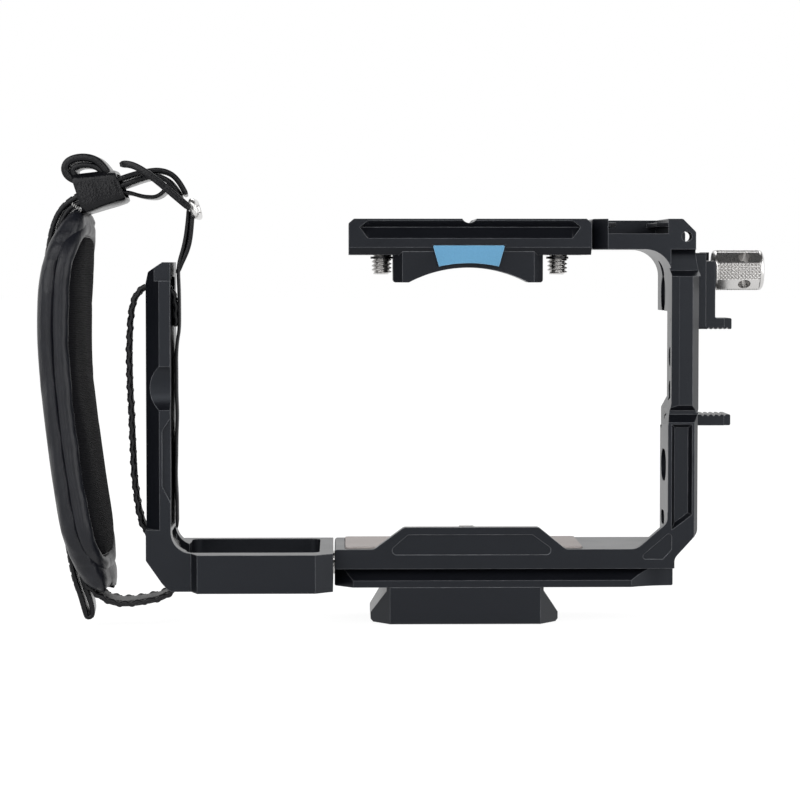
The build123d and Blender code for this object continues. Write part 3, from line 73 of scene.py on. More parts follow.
# ---- Node helpers ----------------------------------------------------------------------------------
class Tree:
    """A material's node tree, with short calls to add and join nodes."""

    def __init__(self, name):
        self.material = bpy.data.materials.new(name)
        self.material.use_nodes = True
        self.tree = self.material.node_tree
        self.shader = self.tree.nodes["Principled BSDF"]
        self.output = self.tree.nodes["Material Output"]

    def add(self, kind, settings=(), **inputs):
        node = self.tree.nodes.new("ShaderNode" + kind)
        for key, value in dict(settings).items():
            setattr(node, key, value)
        for key, value in inputs.items():
            self.put(node, key.replace("_", " "), value)
        return node

    def put(self, node, key, value):
        socket = node.inputs[int(key)] if key.isdigit() else node.inputs[key]
        if isinstance(value, bpy.types.NodeSocket):
            self.tree.links.new(value, socket)
        else:
            socket.default_value = value

    def maths(self, operation, a, b=0.0, clamp=False):
        node = self.tree.nodes.new("ShaderNodeMath")
        node.operation = operation
        node.use_clamp = clamp
        self.put(node, "0", a)
        self.put(node, "1", b)
        return node.outputs[0]

    def ramp(self, value, stops):
        node = self.add("ValToRGB", Fac=value)
        band = node.color_ramp
        band.elements[0].position, band.elements[0].color = stops[0][0], tone(stops[0][1])
        band.elements[1].position, band.elements[1].color = stops[-1][0], tone(stops[-1][1])
        for at, color in stops[1:-1]:
            band.elements.new(at).color = tone(color)
        return node.outputs["Color"]

    def mix(self, factor, a, b, blend="MIX"):
        node = self.tree.nodes.new("ShaderNodeMix")
        node.data_type = "RGBA"
        node.blend_type = blend
        self.put(node, "0", factor)
        self.put(node, "6", a if isinstance(a, bpy.types.NodeSocket) else tone(a))
        self.put(node, "7", b if isinstance(b, bpy.types.NodeSocket) else tone(b))
        return node.outputs[2]

    def coords(self, scale=1.0, stretch=(1, 1, 1)):
        place = self.add("TexCoord").outputs["Object"]
        mapping = self.add("Mapping", Vector=place)
        mapping.inputs["Scale"].default_value = [scale * s for s in stretch]
        return mapping.outputs["Vector"]

    def noise(self, scale, detail=3.0, stretch=(1, 1, 1), rough=0.5):
        place = self.coords(1.0, stretch)
        node = self.add("TexNoise", Vector=place, Scale=scale, Detail=detail, Roughness=rough)
        return node.outputs["Fac"]

    def bump(self, height, strength, distance, normal=None):
        node = self.add("Bump", Height=height, Strength=strength, Distance=distance)
        if normal is not None:
            self.put(node, "Normal", normal)
        return node.outputs["Normal"]

    def edges(self, radius, gain=3.0):
        """1 on sharp corners and 0 on the flats beside them."""
        soft = self.add("Bevel", settings={"samples": 6}, Radius=radius).outputs["Normal"]
        hard = self.add("NewGeometry").outputs["Normal"]
        turn = self.add("VectorMath", settings={"operation": "DOT_PRODUCT"})
        self.put(turn, "0", soft)
        self.put(turn, "1", hard)
        bent = self.maths("SUBTRACT", 1.0, turn.outputs["Value"])
        return self.maths("MULTIPLY", bent, gain * 4, clamp=True)

    def surface(self, **values):
        for key, value in values.items():
            self.put(self.shader, key.replace("_", " "), value)
        return self.material


def tone(color):
    return tuple(color) + (1.0,) if len(color) == 3 else tuple(color)


# ---- Materials -------------------------------------------------------------------------------------
def anodised(name, base, edge_highlight_color, rough=0.36, ior=1.3, metallic=0.0):
    """Bead-blasted, anodised aluminium: fine speckle, faint clouding, and a painted highlight on the
    machined corners.
    """
    t = Tree(name)
    cloud = t.noise(55.0, 4.0)
    speck = t.noise(2600.0, 2.0)
    dark = tuple(c * 0.8 for c in base)
    body = t.mix(cloud, dark, tuple(c * 1.2 for c in base))
    body = t.mix(t.maths("MULTIPLY", speck, 0.35), body, tuple(c * 1.8 for c in base))
    # Painted highlight: the sharp edges, broken up by noise, are lightened toward the edge colour given
    # as the third argument.
    corner = t.maths("MULTIPLY", t.edges(0.00028), t.noise(260.0), clamp=True)
    color = t.mix(t.maths("MULTIPLY", corner, 0.5), body, edge_highlight_color)
    roughness = t.maths("ADD", t.maths("MULTIPLY", cloud, 0.10), rough - 0.05)
    roughness = t.maths("ADD", roughness, t.maths("MULTIPLY", speck, 0.05))
    t.surface(Base_Color=color, Roughness=roughness, Metallic=metallic, IOR=ior)
    t.surface(Specular_Tint=(0.84, 0.90, 1.0, 1.0))
    round_off = t.add("Bevel", settings={"samples": 6}, Radius=0.00035).outputs["Normal"]
    t.surface(Normal=t.bump(speck, 0.10, 0.00006, round_off))
    return t.material


def steel(name, base, rough=0.22, turned=True):
    """Turned steel with fine rings and slight smudges."""
    t = Tree(name)
    smudge = t.noise(140.0, 3.0)
    rings = t.noise(3000.0, 1.0, stretch=(0.02, 0.02, 1.0) if turned else (1, 1, 1))
    color = t.mix(smudge, tuple(c * 0.82 for c in base), base)
    roughness = t.maths("ADD", t.maths("MULTIPLY", rings, 0.12), rough - 0.04)
    t.surface(Base_Color=color, Roughness=roughness, Metallic=1.0, Normal=t.bump(rings, 0.12, 0.00004))
    return t.material


def leather(name, base, rough=0.40, ior=1.45, pebble=0.5, folded=0.3, streaks=0.0):
    """Smooth black leather: pebbled grain, soft creases, slightly polished."""
    t = Tree(name)
    place = t.coords()
    cells = t.add("TexVoronoi", Vector=place, Scale=1500.0, Randomness=1.0).outputs["Distance"]
    folds = t.noise(170.0, 5.0, rough=0.62)
    color = t.mix(folds, tuple(c * 0.6 for c in base), tuple(c * 1.5 for c in base))
    roughness = t.maths("ADD", t.maths("MULTIPLY", folds, 0.16), rough - 0.08)
    height = t.maths("ADD", t.maths("MULTIPLY", cells, pebble), t.maths("MULTIPLY", folds, 0.8))
    if streaks:
        pulls = t.noise(900.0, 3.0, stretch=(1.0, 1.0, 0.28))
        height = t.maths("ADD", height, t.maths("MULTIPLY", pulls, streaks))
    t.surface(Base_Color=color, Roughness=roughness, IOR=ior)
    wrinkles = t.bump(t.noise(210.0, 4.0, stretch=(1.0, 1.0, 0.5), rough=0.6), folded, 0.0007)
    t.surface(Normal=t.bump(height, 0.3, 0.0002, wrinkles))
    return t.material


def ribbed_fabric(name, base, pitch):
    """Ribbed knit: raised ribs across, stitches along them."""
    t = Tree(name)
    place = t.coords()
    across, along = {"bands_direction": "Z"}, {"bands_direction": "Y"}
    ribs = t.add("TexWave", settings=across, Vector=place, Scale=0.5 / pitch)
    knit = t.add("TexWave", settings=along, Vector=place, Scale=1.0 / pitch)
    fuzz = t.noise(1800.0, 3.0)
    height = t.maths("ADD", ribs.outputs["Fac"], t.maths("MULTIPLY", knit.outputs["Fac"], 0.25))
    height = t.maths("ADD", height, t.maths("MULTIPLY", fuzz, 0.35))
    color = t.mix(ribs.outputs["Fac"], tuple(c * 0.45 for c in base), tuple(c * 1.5 for c in base))
    t.surface(Base_Color=color, Roughness=0.9, IOR=1.2, Sheen_Weight=0.015, Sheen_Roughness=0.5)
    t.surface(Normal=t.bump(height, 0.55, 0.00035))
    return t.material


def rubber(name, base):
    """Grey-brown pad with a fine moulded grain."""
    t = Tree(name)
    grain = t.noise(1500.0, 4.0)
    cloud = t.noise(60.0, 3.0)
    color = t.mix(cloud, tuple(c * 0.85 for c in base), tuple(c * 1.15 for c in base))
    t.surface(Base_Color=color, Roughness=0.7, Normal=t.bump(grain, 0.3, 0.00012))
    return t.material


MATERIALS = {
    # The second colour of each anodised finish is its painted edge highlight.
    "black_anodised": anodised(
        "black_anodised", (0.0030, 0.0033, 0.0045), (0.34, 0.35, 0.37), rough=0.29, ior=1.34
    ),
    "blue_anodised": anodised(
        "blue_anodised", (0.066, 0.180, 0.288), (0.42, 0.58, 0.70), rough=0.30, ior=1.4, metallic=0.1
    ),
    "stainless": steel("stainless", (0.62, 0.61, 0.60), 0.26),
    "bright_knurled": steel("bright_knurled", (0.64, 0.63, 0.62), 0.27, turned=False),
    "black_steel": steel("black_steel", (0.05, 0.05, 0.052), 0.34),
    "pad_rubber": rubber("pad_rubber", (0.30, 0.27, 0.26)),
    "black_leather": leather("black_leather", (0.0030, 0.0031, 0.0040), 0.25, 1.28, pebble=0.9),
    "strap_leather": leather("strap_leather", (0.004, 0.004, 0.005), 0.46, 1.32, streaks=0.4),
    "pad_leather": leather(
        "pad_leather", (0.0052, 0.0057, 0.0082), 0.36, 1.34, folded=0.45, streaks=1.2
    ),
    "thread": rubber("thread", (0.02, 0.02, 0.022)),
    "pale_thread": rubber("pale_thread", (0.20, 0.20, 0.195)),
    "black_fabric": ribbed_fabric("black_fabric", (0.0026, 0.0026, 0.0036), 0.0009),
}


def dress_cad():
    """Gives each CAD piece the material of its own slot."""
    slots = {part["node"]: part["material_slot"] for part in frame["record"]["subparts"]}
    for name, node in nodes.items():
        node.data.materials.clear()
        node.data.materials.append(MATERIALS[slots[name]])


# ---- Mesh helpers ----------------------------------------------------------------------------------
def make_piece(name, points, faces, material, body):
    """A smooth mesh from points in millimetres, which rides on a body."""
    mesh = bpy.data.meshes.new(name)
    mesh.from_pydata([Vector(p) * MM for p in points], [], faces)
    mesh.validate()
    mesh.polygons.foreach_set("use_smooth", [True] * len(mesh.polygons))
    mesh.materials.append(MATERIALS[material])
    piece = bpy.data.objects.new(name, mesh)
    bpy.context.scene.collection.objects.link(piece)
    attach(piece, body)
    return piece


def loft(rings, closed=False, capped=True):
    """Points and faces of a skin over rings that all have as many points."""
    count = len(rings[0])
    points = [p for ring in rings for p in ring]
    faces = []
    total = len(rings)
    for i in range(total if closed else total - 1):
        a, b = i * count, (i + 1) % total * count
        for k in range(count):
            n = (k + 1) % count
            faces.append((a + k, a + n, b + n, b + k))
    if capped and not closed:
        faces.append(tuple(reversed(range(count))))
        faces.append(tuple(range((total - 1) * count, total * count)))
    return points, faces


def crease(piece, degrees=35):
    """Keeps corners sharper than this angle crisp."""
    limit = math.radians(degrees)
    mesh = bmesh.new()
    mesh.from_mesh(piece.data)
    bmesh.ops.recalc_face_normals(mesh, faces=mesh.faces)
    for edge in mesh.edges:
        edge.smooth = not (edge.is_manifold and edge.calc_face_angle() > limit)
    mesh.to_mesh(piece.data)
    mesh.free()


def weld(piece, within=0.004):
    """Joins points that lie together, as where a skin closes on its middle line."""
    mesh = bmesh.new()
    mesh.from_mesh(piece.data)
    bmesh.ops.remove_doubles(mesh, verts=mesh.verts, dist=within * MM)
    bmesh.ops.recalc_face_normals(mesh, faces=mesh.faces)
    mesh.to_mesh(piece.data)
    mesh.free()


def eased_path(corners, ease=12.0, step=0.7):
    """Evenly spaced points on a run of straights whose corners are eased over at most this length."""
    corners = [Vector(c) for c in corners]
    last = len(corners) - 1
    dense = [corners[0]]
    for i in range(1, last):
        here, before, after = corners[i], corners[i - 1], corners[i + 1]
        reach_in = min(ease, (here - before).length * (0.5 if i > 1 else 0.9))
        reach_out = min(ease, (after - here).length * (0.5 if i < last - 1 else 0.9))
        start = here + (before - here).normalized() * reach_in
        end = here + (after - here).normalized() * reach_out
        for k in range(17):
            t = k / 16
            dense.append(start * (1 - t) ** 2 + here * 2 * t * (1 - t) + end * t**2)
    dense.append(corners[last])
    return spaced(dense, step)


def spaced(dense, step):
    """Points about a step apart along a path of closer ones."""
    lengths = [0.0]
    for a, b in zip(dense, dense[1:]):
        lengths.append(lengths[-1] + (b - a).length)
    count = max(4, round(lengths[-1] / step))
    even, k = [], 0
    for i in range(count + 1):
        at = lengths[-1] * i / count
        while k < len(dense) - 2 and lengths[k + 1] < at:
            k += 1
        span = max(lengths[k + 1] - lengths[k], 1e-9)
        even.append(dense[k].lerp(dense[k + 1], min(1.0, (at - lengths[k]) / span)))
    return even


def wave(s, length, phase=0.0):
    """A sine that repeats once in every length."""
    return math.sin(s * FULL_TURN / length + phase)


# ---- Hand strap --------------------------------------------------------------------------------------
STRAP_Y = -14.0
STRAP_WIDTH = 18.0
STITCH = 3.9
STITCH_ROWS = (("front", STRAP_Y - 6.9), ("rear", STRAP_Y + 6.9))
SKIN_COLUMNS = (
    -1.0, -0.985, -0.95, -0.9, -0.82, -0.76, -0.7, -0.4, 0, 0.4, 0.7, 0.76, 0.82, 0.9, 0.95, 0.985, 1.0
)
ROUNDED_FROM = 0.93     # share of the half width where a strap's edge starts to round
SEAM_AT = 0.76          # share of the half width where its seam lies
SEAM_DEPTH = 0.16       # share of its thickness


def ribbon_frame(path, k):
    """Point, and the direction across the strap's thickness, at step k."""
    ahead = path[min(k + 1, len(path) - 1)] - path[max(k - 1, 0)]
    ahead.normalize()
    return path[k], Vector((-ahead[1], ahead[0]))


def ribbon(
    name, corners, thickness, width=STRAP_WIDTH, y=STRAP_Y, ease=12.0, sway=0.18, whip=0.0, tail=0.0,
    turn=0.0, material="black_leather", step=0.7,
):
    """A flat leather strap along a path in X and Z, with rounded edges and a soft, uneven run.

    whip makes the edges bulge in turn, as a strap does under a whipped seam, tail narrows the last
    millimetres to a point, and turn twists the upright runs by so many degrees.
    """
    path = eased_path(corners, ease, step)
    length = sum((b - a).length for a, b in zip(path, path[1:]))
    phase = rng.uniform(0, 6.28)
    rings = []
    for k in range(len(path)):
        here, across = ribbon_frame(path, k)
        s = length * k / (len(path) - 1)
        end = min(1.0, s / 1.2, (length - s) / 1.2)
        narrow = 0.18 + 0.82 * math.sqrt(min(1.0, (length - s) / tail)) if tail else 1.0
        lean = math.sin(math.radians(turn)) * abs(across[0]) * across[0]
        drift = sway * end * (wave(s, 31.0, phase) + 0.5 * wave(s, 13.0, 2 * phase))
        upper, lower = [], []
        thinned = 0.55 + 0.45 * math.sqrt(max(end, 0))
        for v in SKIN_COLUMNS:
            edge = max(0.0, (abs(v) - ROUNDED_FROM) / (1 - ROUNDED_FROM))
            half = thickness / 2 * math.sqrt(max(0.0, 1 - edge**2)) * thinned
            groove = SEAM_DEPTH * math.exp(-(((abs(v) - SEAM_AT) / 0.035) ** 2))
            bulge = whip * min(1.0, max(0.0, (abs(v) - 0.7) / 0.12))
            up = half * (1 - groove + bulge * wave(s, STITCH, phase))
            low = half * (1 - groove + bulge * wave(s, STITCH, phase + 2.6))
            place = v * narrow * width / 2 + y + 0.25 * wave(s, 43.0, phase) * end
            side = Vector((across[0], 0, across[1]))
            middle = Vector((here[0], place, here[1])) + side * (drift + (place - y) * lean)
            upper.append(middle + side * up)
            lower.append(middle - side * low)
        rings.append(upper + lower[-2:0:-1])
    points, faces = loft(rings)
    piece = make_piece(name, points, faces, material, "bracket")
    crease(piece, 60)
    return piece, path


def stitch_row(name, path, y, offset, turn, radius=0.24, pitch=STITCH, run=2.7, skip=4.0):
    """A row of thread stitches along a strap's face."""
    length = sum((b - a).length for a, b in zip(path, path[1:]))
    points, faces = [], []
    count = int((length - 2 * skip) / pitch)
    for i in range(count):
        start = skip + i * pitch
        rings = []
        for t in (0.0, 0.12, 0.35, 0.65, 0.88, 1.0):
            k = min(len(path) - 2, int((start + t * run) / length * (len(path) - 1)))
            here, across = ribbon_frame(path, k)
            ahead = Vector((across[1], -across[0]))
            exact = here + ahead * ((start + t * run) - k * length / (len(path) - 1))
            lean = math.sin(math.radians(turn)) * abs(across[0]) * across[0]
            sunk = math.copysign(0.12 * math.sin(math.pi * t) - 0.14, offset)
            lift = (y - STRAP_Y) * lean + offset + sunk
            size = radius * (0.35 + 0.65 * math.sin(math.pi * (0.1 + 0.8 * t)))
            ring = []
            for a in range(6):
                angle = a * math.pi / 3
                flat = exact + across * (lift + size * math.cos(angle))
                ring.append(Vector((flat[0], y + size * math.sin(angle), flat[1])))
            rings.append(ring)
        more, skin = loft(rings)
        base = len(points)
        points += more
        faces += [tuple(base + n for n in face) for face in skin]
    return make_piece(name, points, faces, "thread", "bracket")


def make_straps():
    """Every flat strap, as the photograph shows its run in X and Z."""
    stitched, path = ribbon(
        "stitched_strap_leather",
        (
            (-90.3, 93.0), (-90.3, 106.2), (-100.2, 106.0), (-104.4, 100.0), (-104.9, 80.0),
            (-103.0, 39.0), (-99.8, 27.3), (-89.2, 26.6), (-89.2, 9.8), (-105.3, 6.2), (-113.6, 8.2),
            (-118.6, 13.4),
        ),
        1.5, ease=9.0, sway=0.1, whip=0.5, turn=-3.6, material="strap_leather", step=0.5,
    )
    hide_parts("stitched_strap")
    for side, y in STITCH_ROWS:
        for face, offset in (("outer", 0.66), ("inner", -0.66)):
            stitch_row("strap_stitches_" + side + "_" + face, path, y, offset, -3.6)

    drop, _ = ribbon(
        "strap_drop_leather",
        (
            (-86.4, 129.2), (-86.7, 123.5), (-87.8, 117.6), (-89.2, 112.6), (-89.3, 108.0),
            (-89.1, 93.0), (-90.1, 87.0), (-90.0, 64.0), (-90.3, 46.0), (-90.0, 30.6),
        ),
        1.0, sway=0.1, turn=-2.6, material="strap_leather",
    )
    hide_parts("strap_drop")
    ribbon(
        "strap_drop_fold",
        ((-85.0, 129.8), (-85.3, 123.2), (-86.4, 117.2), (-88.7, 112.2), (-89.8, 109.6)),
        1.5, width=STRAP_WIDTH - 0.8, sway=0.06, turn=-4.0,
    )

    outer, path = ribbon(
        "pad_strap_leather",
        (
            (-86.7, 133.6), (-88.5, 137.6), (-92.4, 141.2), (-98.3, 141.4), (-119.8, 134.2),
            (-127.6, 127.6), (-132.0, 101.0), (-131.8, 84.0), (-126.4, 40.0), (-123.7, 24.0),
            (-122.2, 15.5), (-120.5, 10.6), (-119.0, 5.2), (-118.1, 2.9), (-116.7, 2.9), (-116.6, 5.2),
            (-117.5, 8.8), (-119.3, 14.0), (-120.2, 18.0),
        ),
        1.6, ease=8.0, sway=0.1, turn=-3.5, step=0.4,
    )
    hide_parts("pad_strap")
    for side, y in STITCH_ROWS:
        stitch_row("pad_strap_stitches_" + side, path, y, -0.72, -3.5, pitch=3.0, run=2.2, skip=22.0)
    ribbon(
        "pad_strap_under",
        ((-115.5, 132.3), (-121.4, 130.6), (-124.7, 126.8), (-126.7, 121.0), (-127.4, 116.0)),
        1.7, width=STRAP_WIDTH - 1.0, ease=8.0, sway=0.08, turn=-2.0,
    )

    inner, _ = ribbon(
        "strap_inner_leather",
        ((-88.5, 132.6), (-90.2, 136.0), (-93.4, 139.2), (-98.0, 139.4), (-117.6, 132.75)),
        1.6, ease=6.0, sway=0.08,
    )
    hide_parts("strap_inner")

    loop, _ = ribbon(
        "folded_loop_leather",
        (
            (-119.0, 137.8), (-122.3, 138.6), (-124.2, 141.4), (-123.0, 144.2), (-119.1, 145.4),
            (-114.8, 144.9), (-112.1, 142.8), (-110.2, 139.8),
        ),
        2.3, ease=2.6, sway=0.05,
    )
    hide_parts("folded_loop")
    ribbon(
        "folded_loop_inner",
        (
            (-119.4, 138.4), (-121.4, 140.0), (-121.6, 141.8), (-119.2, 143.0), (-115.4, 142.9),
            (-112.9, 141.4), (-111.4, 139.6),
        ),
        1.7, width=STRAP_WIDTH - 1.2, ease=2.0, sway=0.05,
    )

    loose, _ = ribbon(
        "loose_loop_leather",
        ((-108.4, 133.9), (-105.6, 134.8), (-99.5, 132.9), (-94.4, 133.0), (-92.4, 136.2)),
        1.25, ease=5.0, sway=0.08,
    )
    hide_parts("loose_loop")

    tail, _ = ribbon(
        "strap_tail_leather",
        ((-84.6, 129.2), (-98.8, 141.0), (-104.0, 143.2), (-106.2, 142.6)),
        2.1, width=7.6, y=-30.5, ease=6.0, sway=0.05, tail=9.0,
    )
    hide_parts("strap_tail")


def make_bar_tack():
    """The pale stitches that close the pad's top end over its strap."""
    points, faces = [], []
    shape = ((-0.55, 0.05), (-0.45, 0.15), (-0.15, 0.2), (0.15, 0.2), (0.45, 0.15), (0.55, 0.05))
    stitches = 6
    for k in range(stitches):
        t = k / (stitches - 1)
        middle = Vector((-121.4 + 2.6 * t, -23.3, 130.8 - 2.0 * t))
        along = Vector((0.5, 0.0, 0.87)) if k % 2 else Vector((0.25, 0.0, 0.97))
        out = Vector((0.0, -1.0, 0.0))
        side = along.cross(out)
        rings = []
        for reach, size in shape:
            core = middle + along * reach
            angles = [a * math.pi / 4 for a in range(8)]
            rings.append([core + (side * math.cos(a) + out * math.sin(a)) * size for a in angles])
        more, skin = loft(rings)
        faces += [tuple(len(points) + n for n in face) for face in skin]
        points += more
    make_piece("pad_bar_tack", points, faces, "pale_thread", "bracket")


def make_keeper():
    """The leather sleeve round the straps: a flattened tube, a little puffed, with cut edges."""
    left_low, left_top = Vector((-117.9, 0, 127.4)), Vector((-122.0, 0, 139.9))
    right_low, right_top = Vector((-104.8, 0, 131.8)), Vector((-108.4, 0, 141.3))
    half_width, wall, cut_edge = 11.0, 1.3, 0.25
    rings = []
    steps = 18

    def ring(t, inset):
        low, top = left_low.lerp(right_low, t), left_top.lerp(right_top, t)
        rise = (top - low) / 2
        middle = (low + top) / 2
        flare = 1.0 + 0.025 * math.cos(math.pi * 2 * t) - 0.01
        half_high = rise.length - inset
        up = rise.normalized()
        loop = []
        for k in range(48):
            turn = k * math.pi / 24
            c, s = math.cos(turn), math.sin(turn)
            wide = math.copysign(abs(c) ** 0.42, c) * (half_width - inset)
            high = math.copysign(abs(s) ** 0.30, s) * half_high * flare
            puff = 0.25 * math.sin(math.pi * t) * (1 if inset == 0 else 0)
            dent = 0.18 * wave(t * 12 + k, 17.0) if inset == 0 else 0.0
            out = high + math.copysign(puff, high) + dent * abs(s)
            loop.append(middle + up * out + Vector((0, STRAP_Y + wide, 0)))
        return loop

    for k in range(steps + 1):
        rings.append(ring(k / steps, cut_edge if k in (0, steps) else 0.0))
    for k in range(steps, -1, -1):
        rings.append(ring(k / steps, wall))
    points, faces = loft(rings, closed=True)
    sleeve = make_piece("keeper_sleeve_leather", points, faces, "black_leather", "bracket")
    crease(sleeve, 50)
    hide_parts("keeper_sleeve")


def make_slider():
    """The round-wire ring at the top of the strap."""
    origin = Vector((-84.0, STRAP_Y, 129.4))
    along, up = Vector((0, 1, 0)), Vector((-0.28, 0, 0.96))
    out = along.cross(up)
    half, tall, corner, wire = 11.4, 2.2, 1.5, 1.1
    path = []
    for cx, cy, start in ((1, -1, -90), (1, 1, 0), (-1, 1, 90), (-1, -1, 180)):
        for k in range(9):
            turn = math.radians(start + k * 90 / 8)
            across = cx * (half - corner) + corner * math.cos(turn)
            path.append((across, cy * (tall - corner) + corner * math.sin(turn)))
    rings = []
    turns = [i * math.pi / 8 for i in range(16)]
    for k, (a, b) in enumerate(path):
        ahead = Vector(path[(k + 1) % len(path)]) - Vector(path[k - 1])
        ahead.normalize()
        side = along * ahead[1] - up * ahead[0]
        middle = origin + along * a + up * b
        rings.append([middle + (side * math.cos(t) + out * math.sin(t)) * wire for t in turns])
    points, faces = loft(rings, closed=True)
    ring = make_piece("strap_ring", points, faces, "bright_knurled", "bracket")
    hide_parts("strap_slider")


# ---- Hand pad ----------------------------------------------------------------------------------------
PAD_X = -121.0
PAD_YAW = math.radians(5.0)
# (height, place in X) of the pad's outer and inner faces
PAD_OUTER = (
    (11.2, -116.6), (15.0, -118.8), (21.0, -121.0), (30.0, -123.3), (56.0, -127.0), (86.0, -130.0),
    (102.0, -130.2), (113.0, -129.0), (121.0, -126.8), (126.0, -124.0), (130.6, -120.4),
)
PAD_INNER = (
    (9.8, -109.0), (19.0, -112.8), (38.0, -117.0), (58.0, -120.0), (80.0, -122.2), (98.0, -122.6),
    (112.0, -121.5), (120.5, -119.4), (128.0, -117.0),
)


def smooth_curve(table, z):
    """The value at z of a smooth curve through a table of (z, value)."""
    last = len(table) - 1
    k = 0
    while k < last - 1 and table[k + 1][0] < z:
        k += 1
    (z0, v0), (z1, v1) = table[k], table[k + 1]
    span = z1 - z0
    t = max(0.0, min(1.0, (z - z0) / span))
    before, after = table[max(k - 1, 0)], table[min(k + 2, last)]
    m0 = (v1 - before[1]) / max(z1 - before[0], 1e-6) * span
    m1 = (after[1] - v0) / max(after[0] - z0, 1e-6) * span
    a, b = 2 * t**3 - 3 * t**2 + 1, t**3 - 2 * t**2 + t
    return a * v0 + b * m0 + (1 - a) * v1 + (t**3 - t**2) * m1


def pad_point(u, w, z):
    """A point from its place in the pad: u through its thickness, w across its width."""
    x, y = u - PAD_X, w
    return Vector((
        PAD_X + x * math.cos(PAD_YAW) + y * math.sin(PAD_YAW),
        STRAP_Y - x * math.sin(PAD_YAW) + y * math.cos(PAD_YAW),
        z,
    ))


def pad_inner(z):
    """The place of the pad's inner face at a height."""
    return smooth_curve(PAD_INNER, z)


def swell(t):
    """A smooth step from 0 to 1."""
    t = max(0.0, min(1.0, t))
    return t * t * (3 - 2 * t)


def pad_hood(z):
    """How far the leather swells over the lining's frame near the pad's two ends."""
    upper = 1.5 * swell((z - 110) / 13) * (1 - swell((z - 124) / 8))
    lower = 1.2 * swell((30 - z) / 13) * swell((z - 9) / 8)
    return upper + lower


def refine(piece):
    """One level of subdivision, which rounds the skin's facets."""
    finer = piece.modifiers.new("finer", "SUBSURF")
    finer.levels = finer.render_levels = 1


def inflate(piece, pressure, cap, voxel, frames=20):
    """Puffs a closed skin up with cloth and pressure. Its points stay within cap of their start."""
    remesh = piece.modifiers.new("remesh", "REMESH")
    remesh.mode = "VOXEL"
    remesh.voxel_size = voxel * MM
    with bpy.context.temp_override(object=piece, active_object=piece):
        bpy.ops.object.modifier_apply(modifier=remesh.name)
    start = [v.co.copy() for v in piece.data.vertices]
    cloth = piece.modifiers.new("cloth", "CLOTH")
    cloth.settings.quality = 6
    cloth.settings.mass = 0.3
    cloth.settings.tension_stiffness = 15
    cloth.settings.compression_stiffness = 15
    cloth.settings.bending_stiffness = 0.4
    cloth.settings.use_pressure = True
    cloth.settings.uniform_pressure_force = pressure
    cloth.settings.shrink_min = 0.02
    cloth.settings.effector_weights.gravity = 0.0
    cloth.collision_settings.use_collision = False
    scene = bpy.context.scene
    cloth.point_cache.frame_start = 1
    cloth.point_cache.frame_end = frames
    for frame_number in range(1, frames + 1):
        scene.frame_set(frame_number)
    puffed = piece.evaluated_get(bpy.context.evaluated_depsgraph_get())
    ends = [v.co.copy() for v in puffed.data.vertices]
    piece.modifiers.remove(cloth)
    scene.frame_set(1)
    for vertex, a, b in zip(piece.data.vertices, start, ends):
        move = b - a
        reach = cap * MM
        vertex.co = a + move * (reach / (reach + move.length))
    piece.data.polygons.foreach_set("use_smooth", [True] * len(piece.data.polygons))


def rounded_outline(half_width, bottom, top, radius):
    """Points round a rectangle with rounded corners, across w and up z."""
    radius = max(0.0, min(radius, half_width, (top - bottom) / 2))
    points = []
    corners = (
        (half_width - radius, top - radius, 0), (-half_width + radius, top - radius, 90),
        (-half_width + radius, bottom + radius, 180), (half_width - radius, bottom + radius, 270),
    )
    for i, (w, z, start) in enumerate(corners):
        for k in range(13):
            turn = math.radians(start + k * 7.5)
            points.append(Vector((w + radius * math.cos(turn), z + radius * math.sin(turn))))
        here, (w2, z2, start2) = points[-1], corners[(i + 1) % 4]
        turn = math.radians(start2)
        ahead = Vector((w2 + radius * math.cos(turn), z2 + radius * math.sin(turn)))
        parts = 40 if i % 2 else 6
        points += [here.lerp(ahead, k / parts) for k in range(1, parts)]
    return points


def make_pad_leather():
    """The pad's leather body: a stuffed sleeve that narrows and gathers at both ends."""
    rings = []
    steps = 46
    end_half_width, widening = 12.4, 10.2
    bottom, top = PAD_OUTER[0][0], PAD_OUTER[-1][0]
    for i in range(steps + 1):
        t = i / steps
        z_out = bottom + (top - bottom) * t
        z_in = PAD_INNER[0][0] + (PAD_INNER[-1][0] - PAD_INNER[0][0]) * t
        outer, inner = smooth_curve(PAD_OUTER, z_out), pad_inner(z_in) + pad_hood(z_in)
        near_end = min(t, 1 - t) * (top - bottom)
        ease = min(1.0, near_end / 27.0)
        half_width = end_half_width + widening * (math.sin(ease * math.pi / 2) ** 0.9)
        close = min(1.0, 0.62 + 0.38 * math.sqrt(min(1.0, near_end / 3.2)))
        middle, half = (outer + inner) / 2, (inner - outer) / 2 * close
        lean, rise = (z_in - z_out) / 2, (z_in + z_out) / 2
        ring = []
        for k in range(44):
            turn = k * math.pi / 22
            c, s = math.cos(turn), math.sin(turn)
            w = math.copysign(abs(c) ** 0.42, c) * half_width
            u = math.copysign(abs(s) ** 0.6, s)
            pleat = math.exp(-near_end / 7.0) * 0.35 * wave(w, 5.5, 0.7) * abs(s)
            ring.append(pad_point(middle + u * (half + pleat), w, rise + u * lean))
        rings.append(ring)
    points, faces = loft(rings)
    pad = make_piece("hand_pad_leather", points, faces, "pad_leather", "bracket")
    inflate(pad, pressure=5.0, cap=0.9, voxel=2.0)
    refine(pad)
    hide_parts("hand_pad")


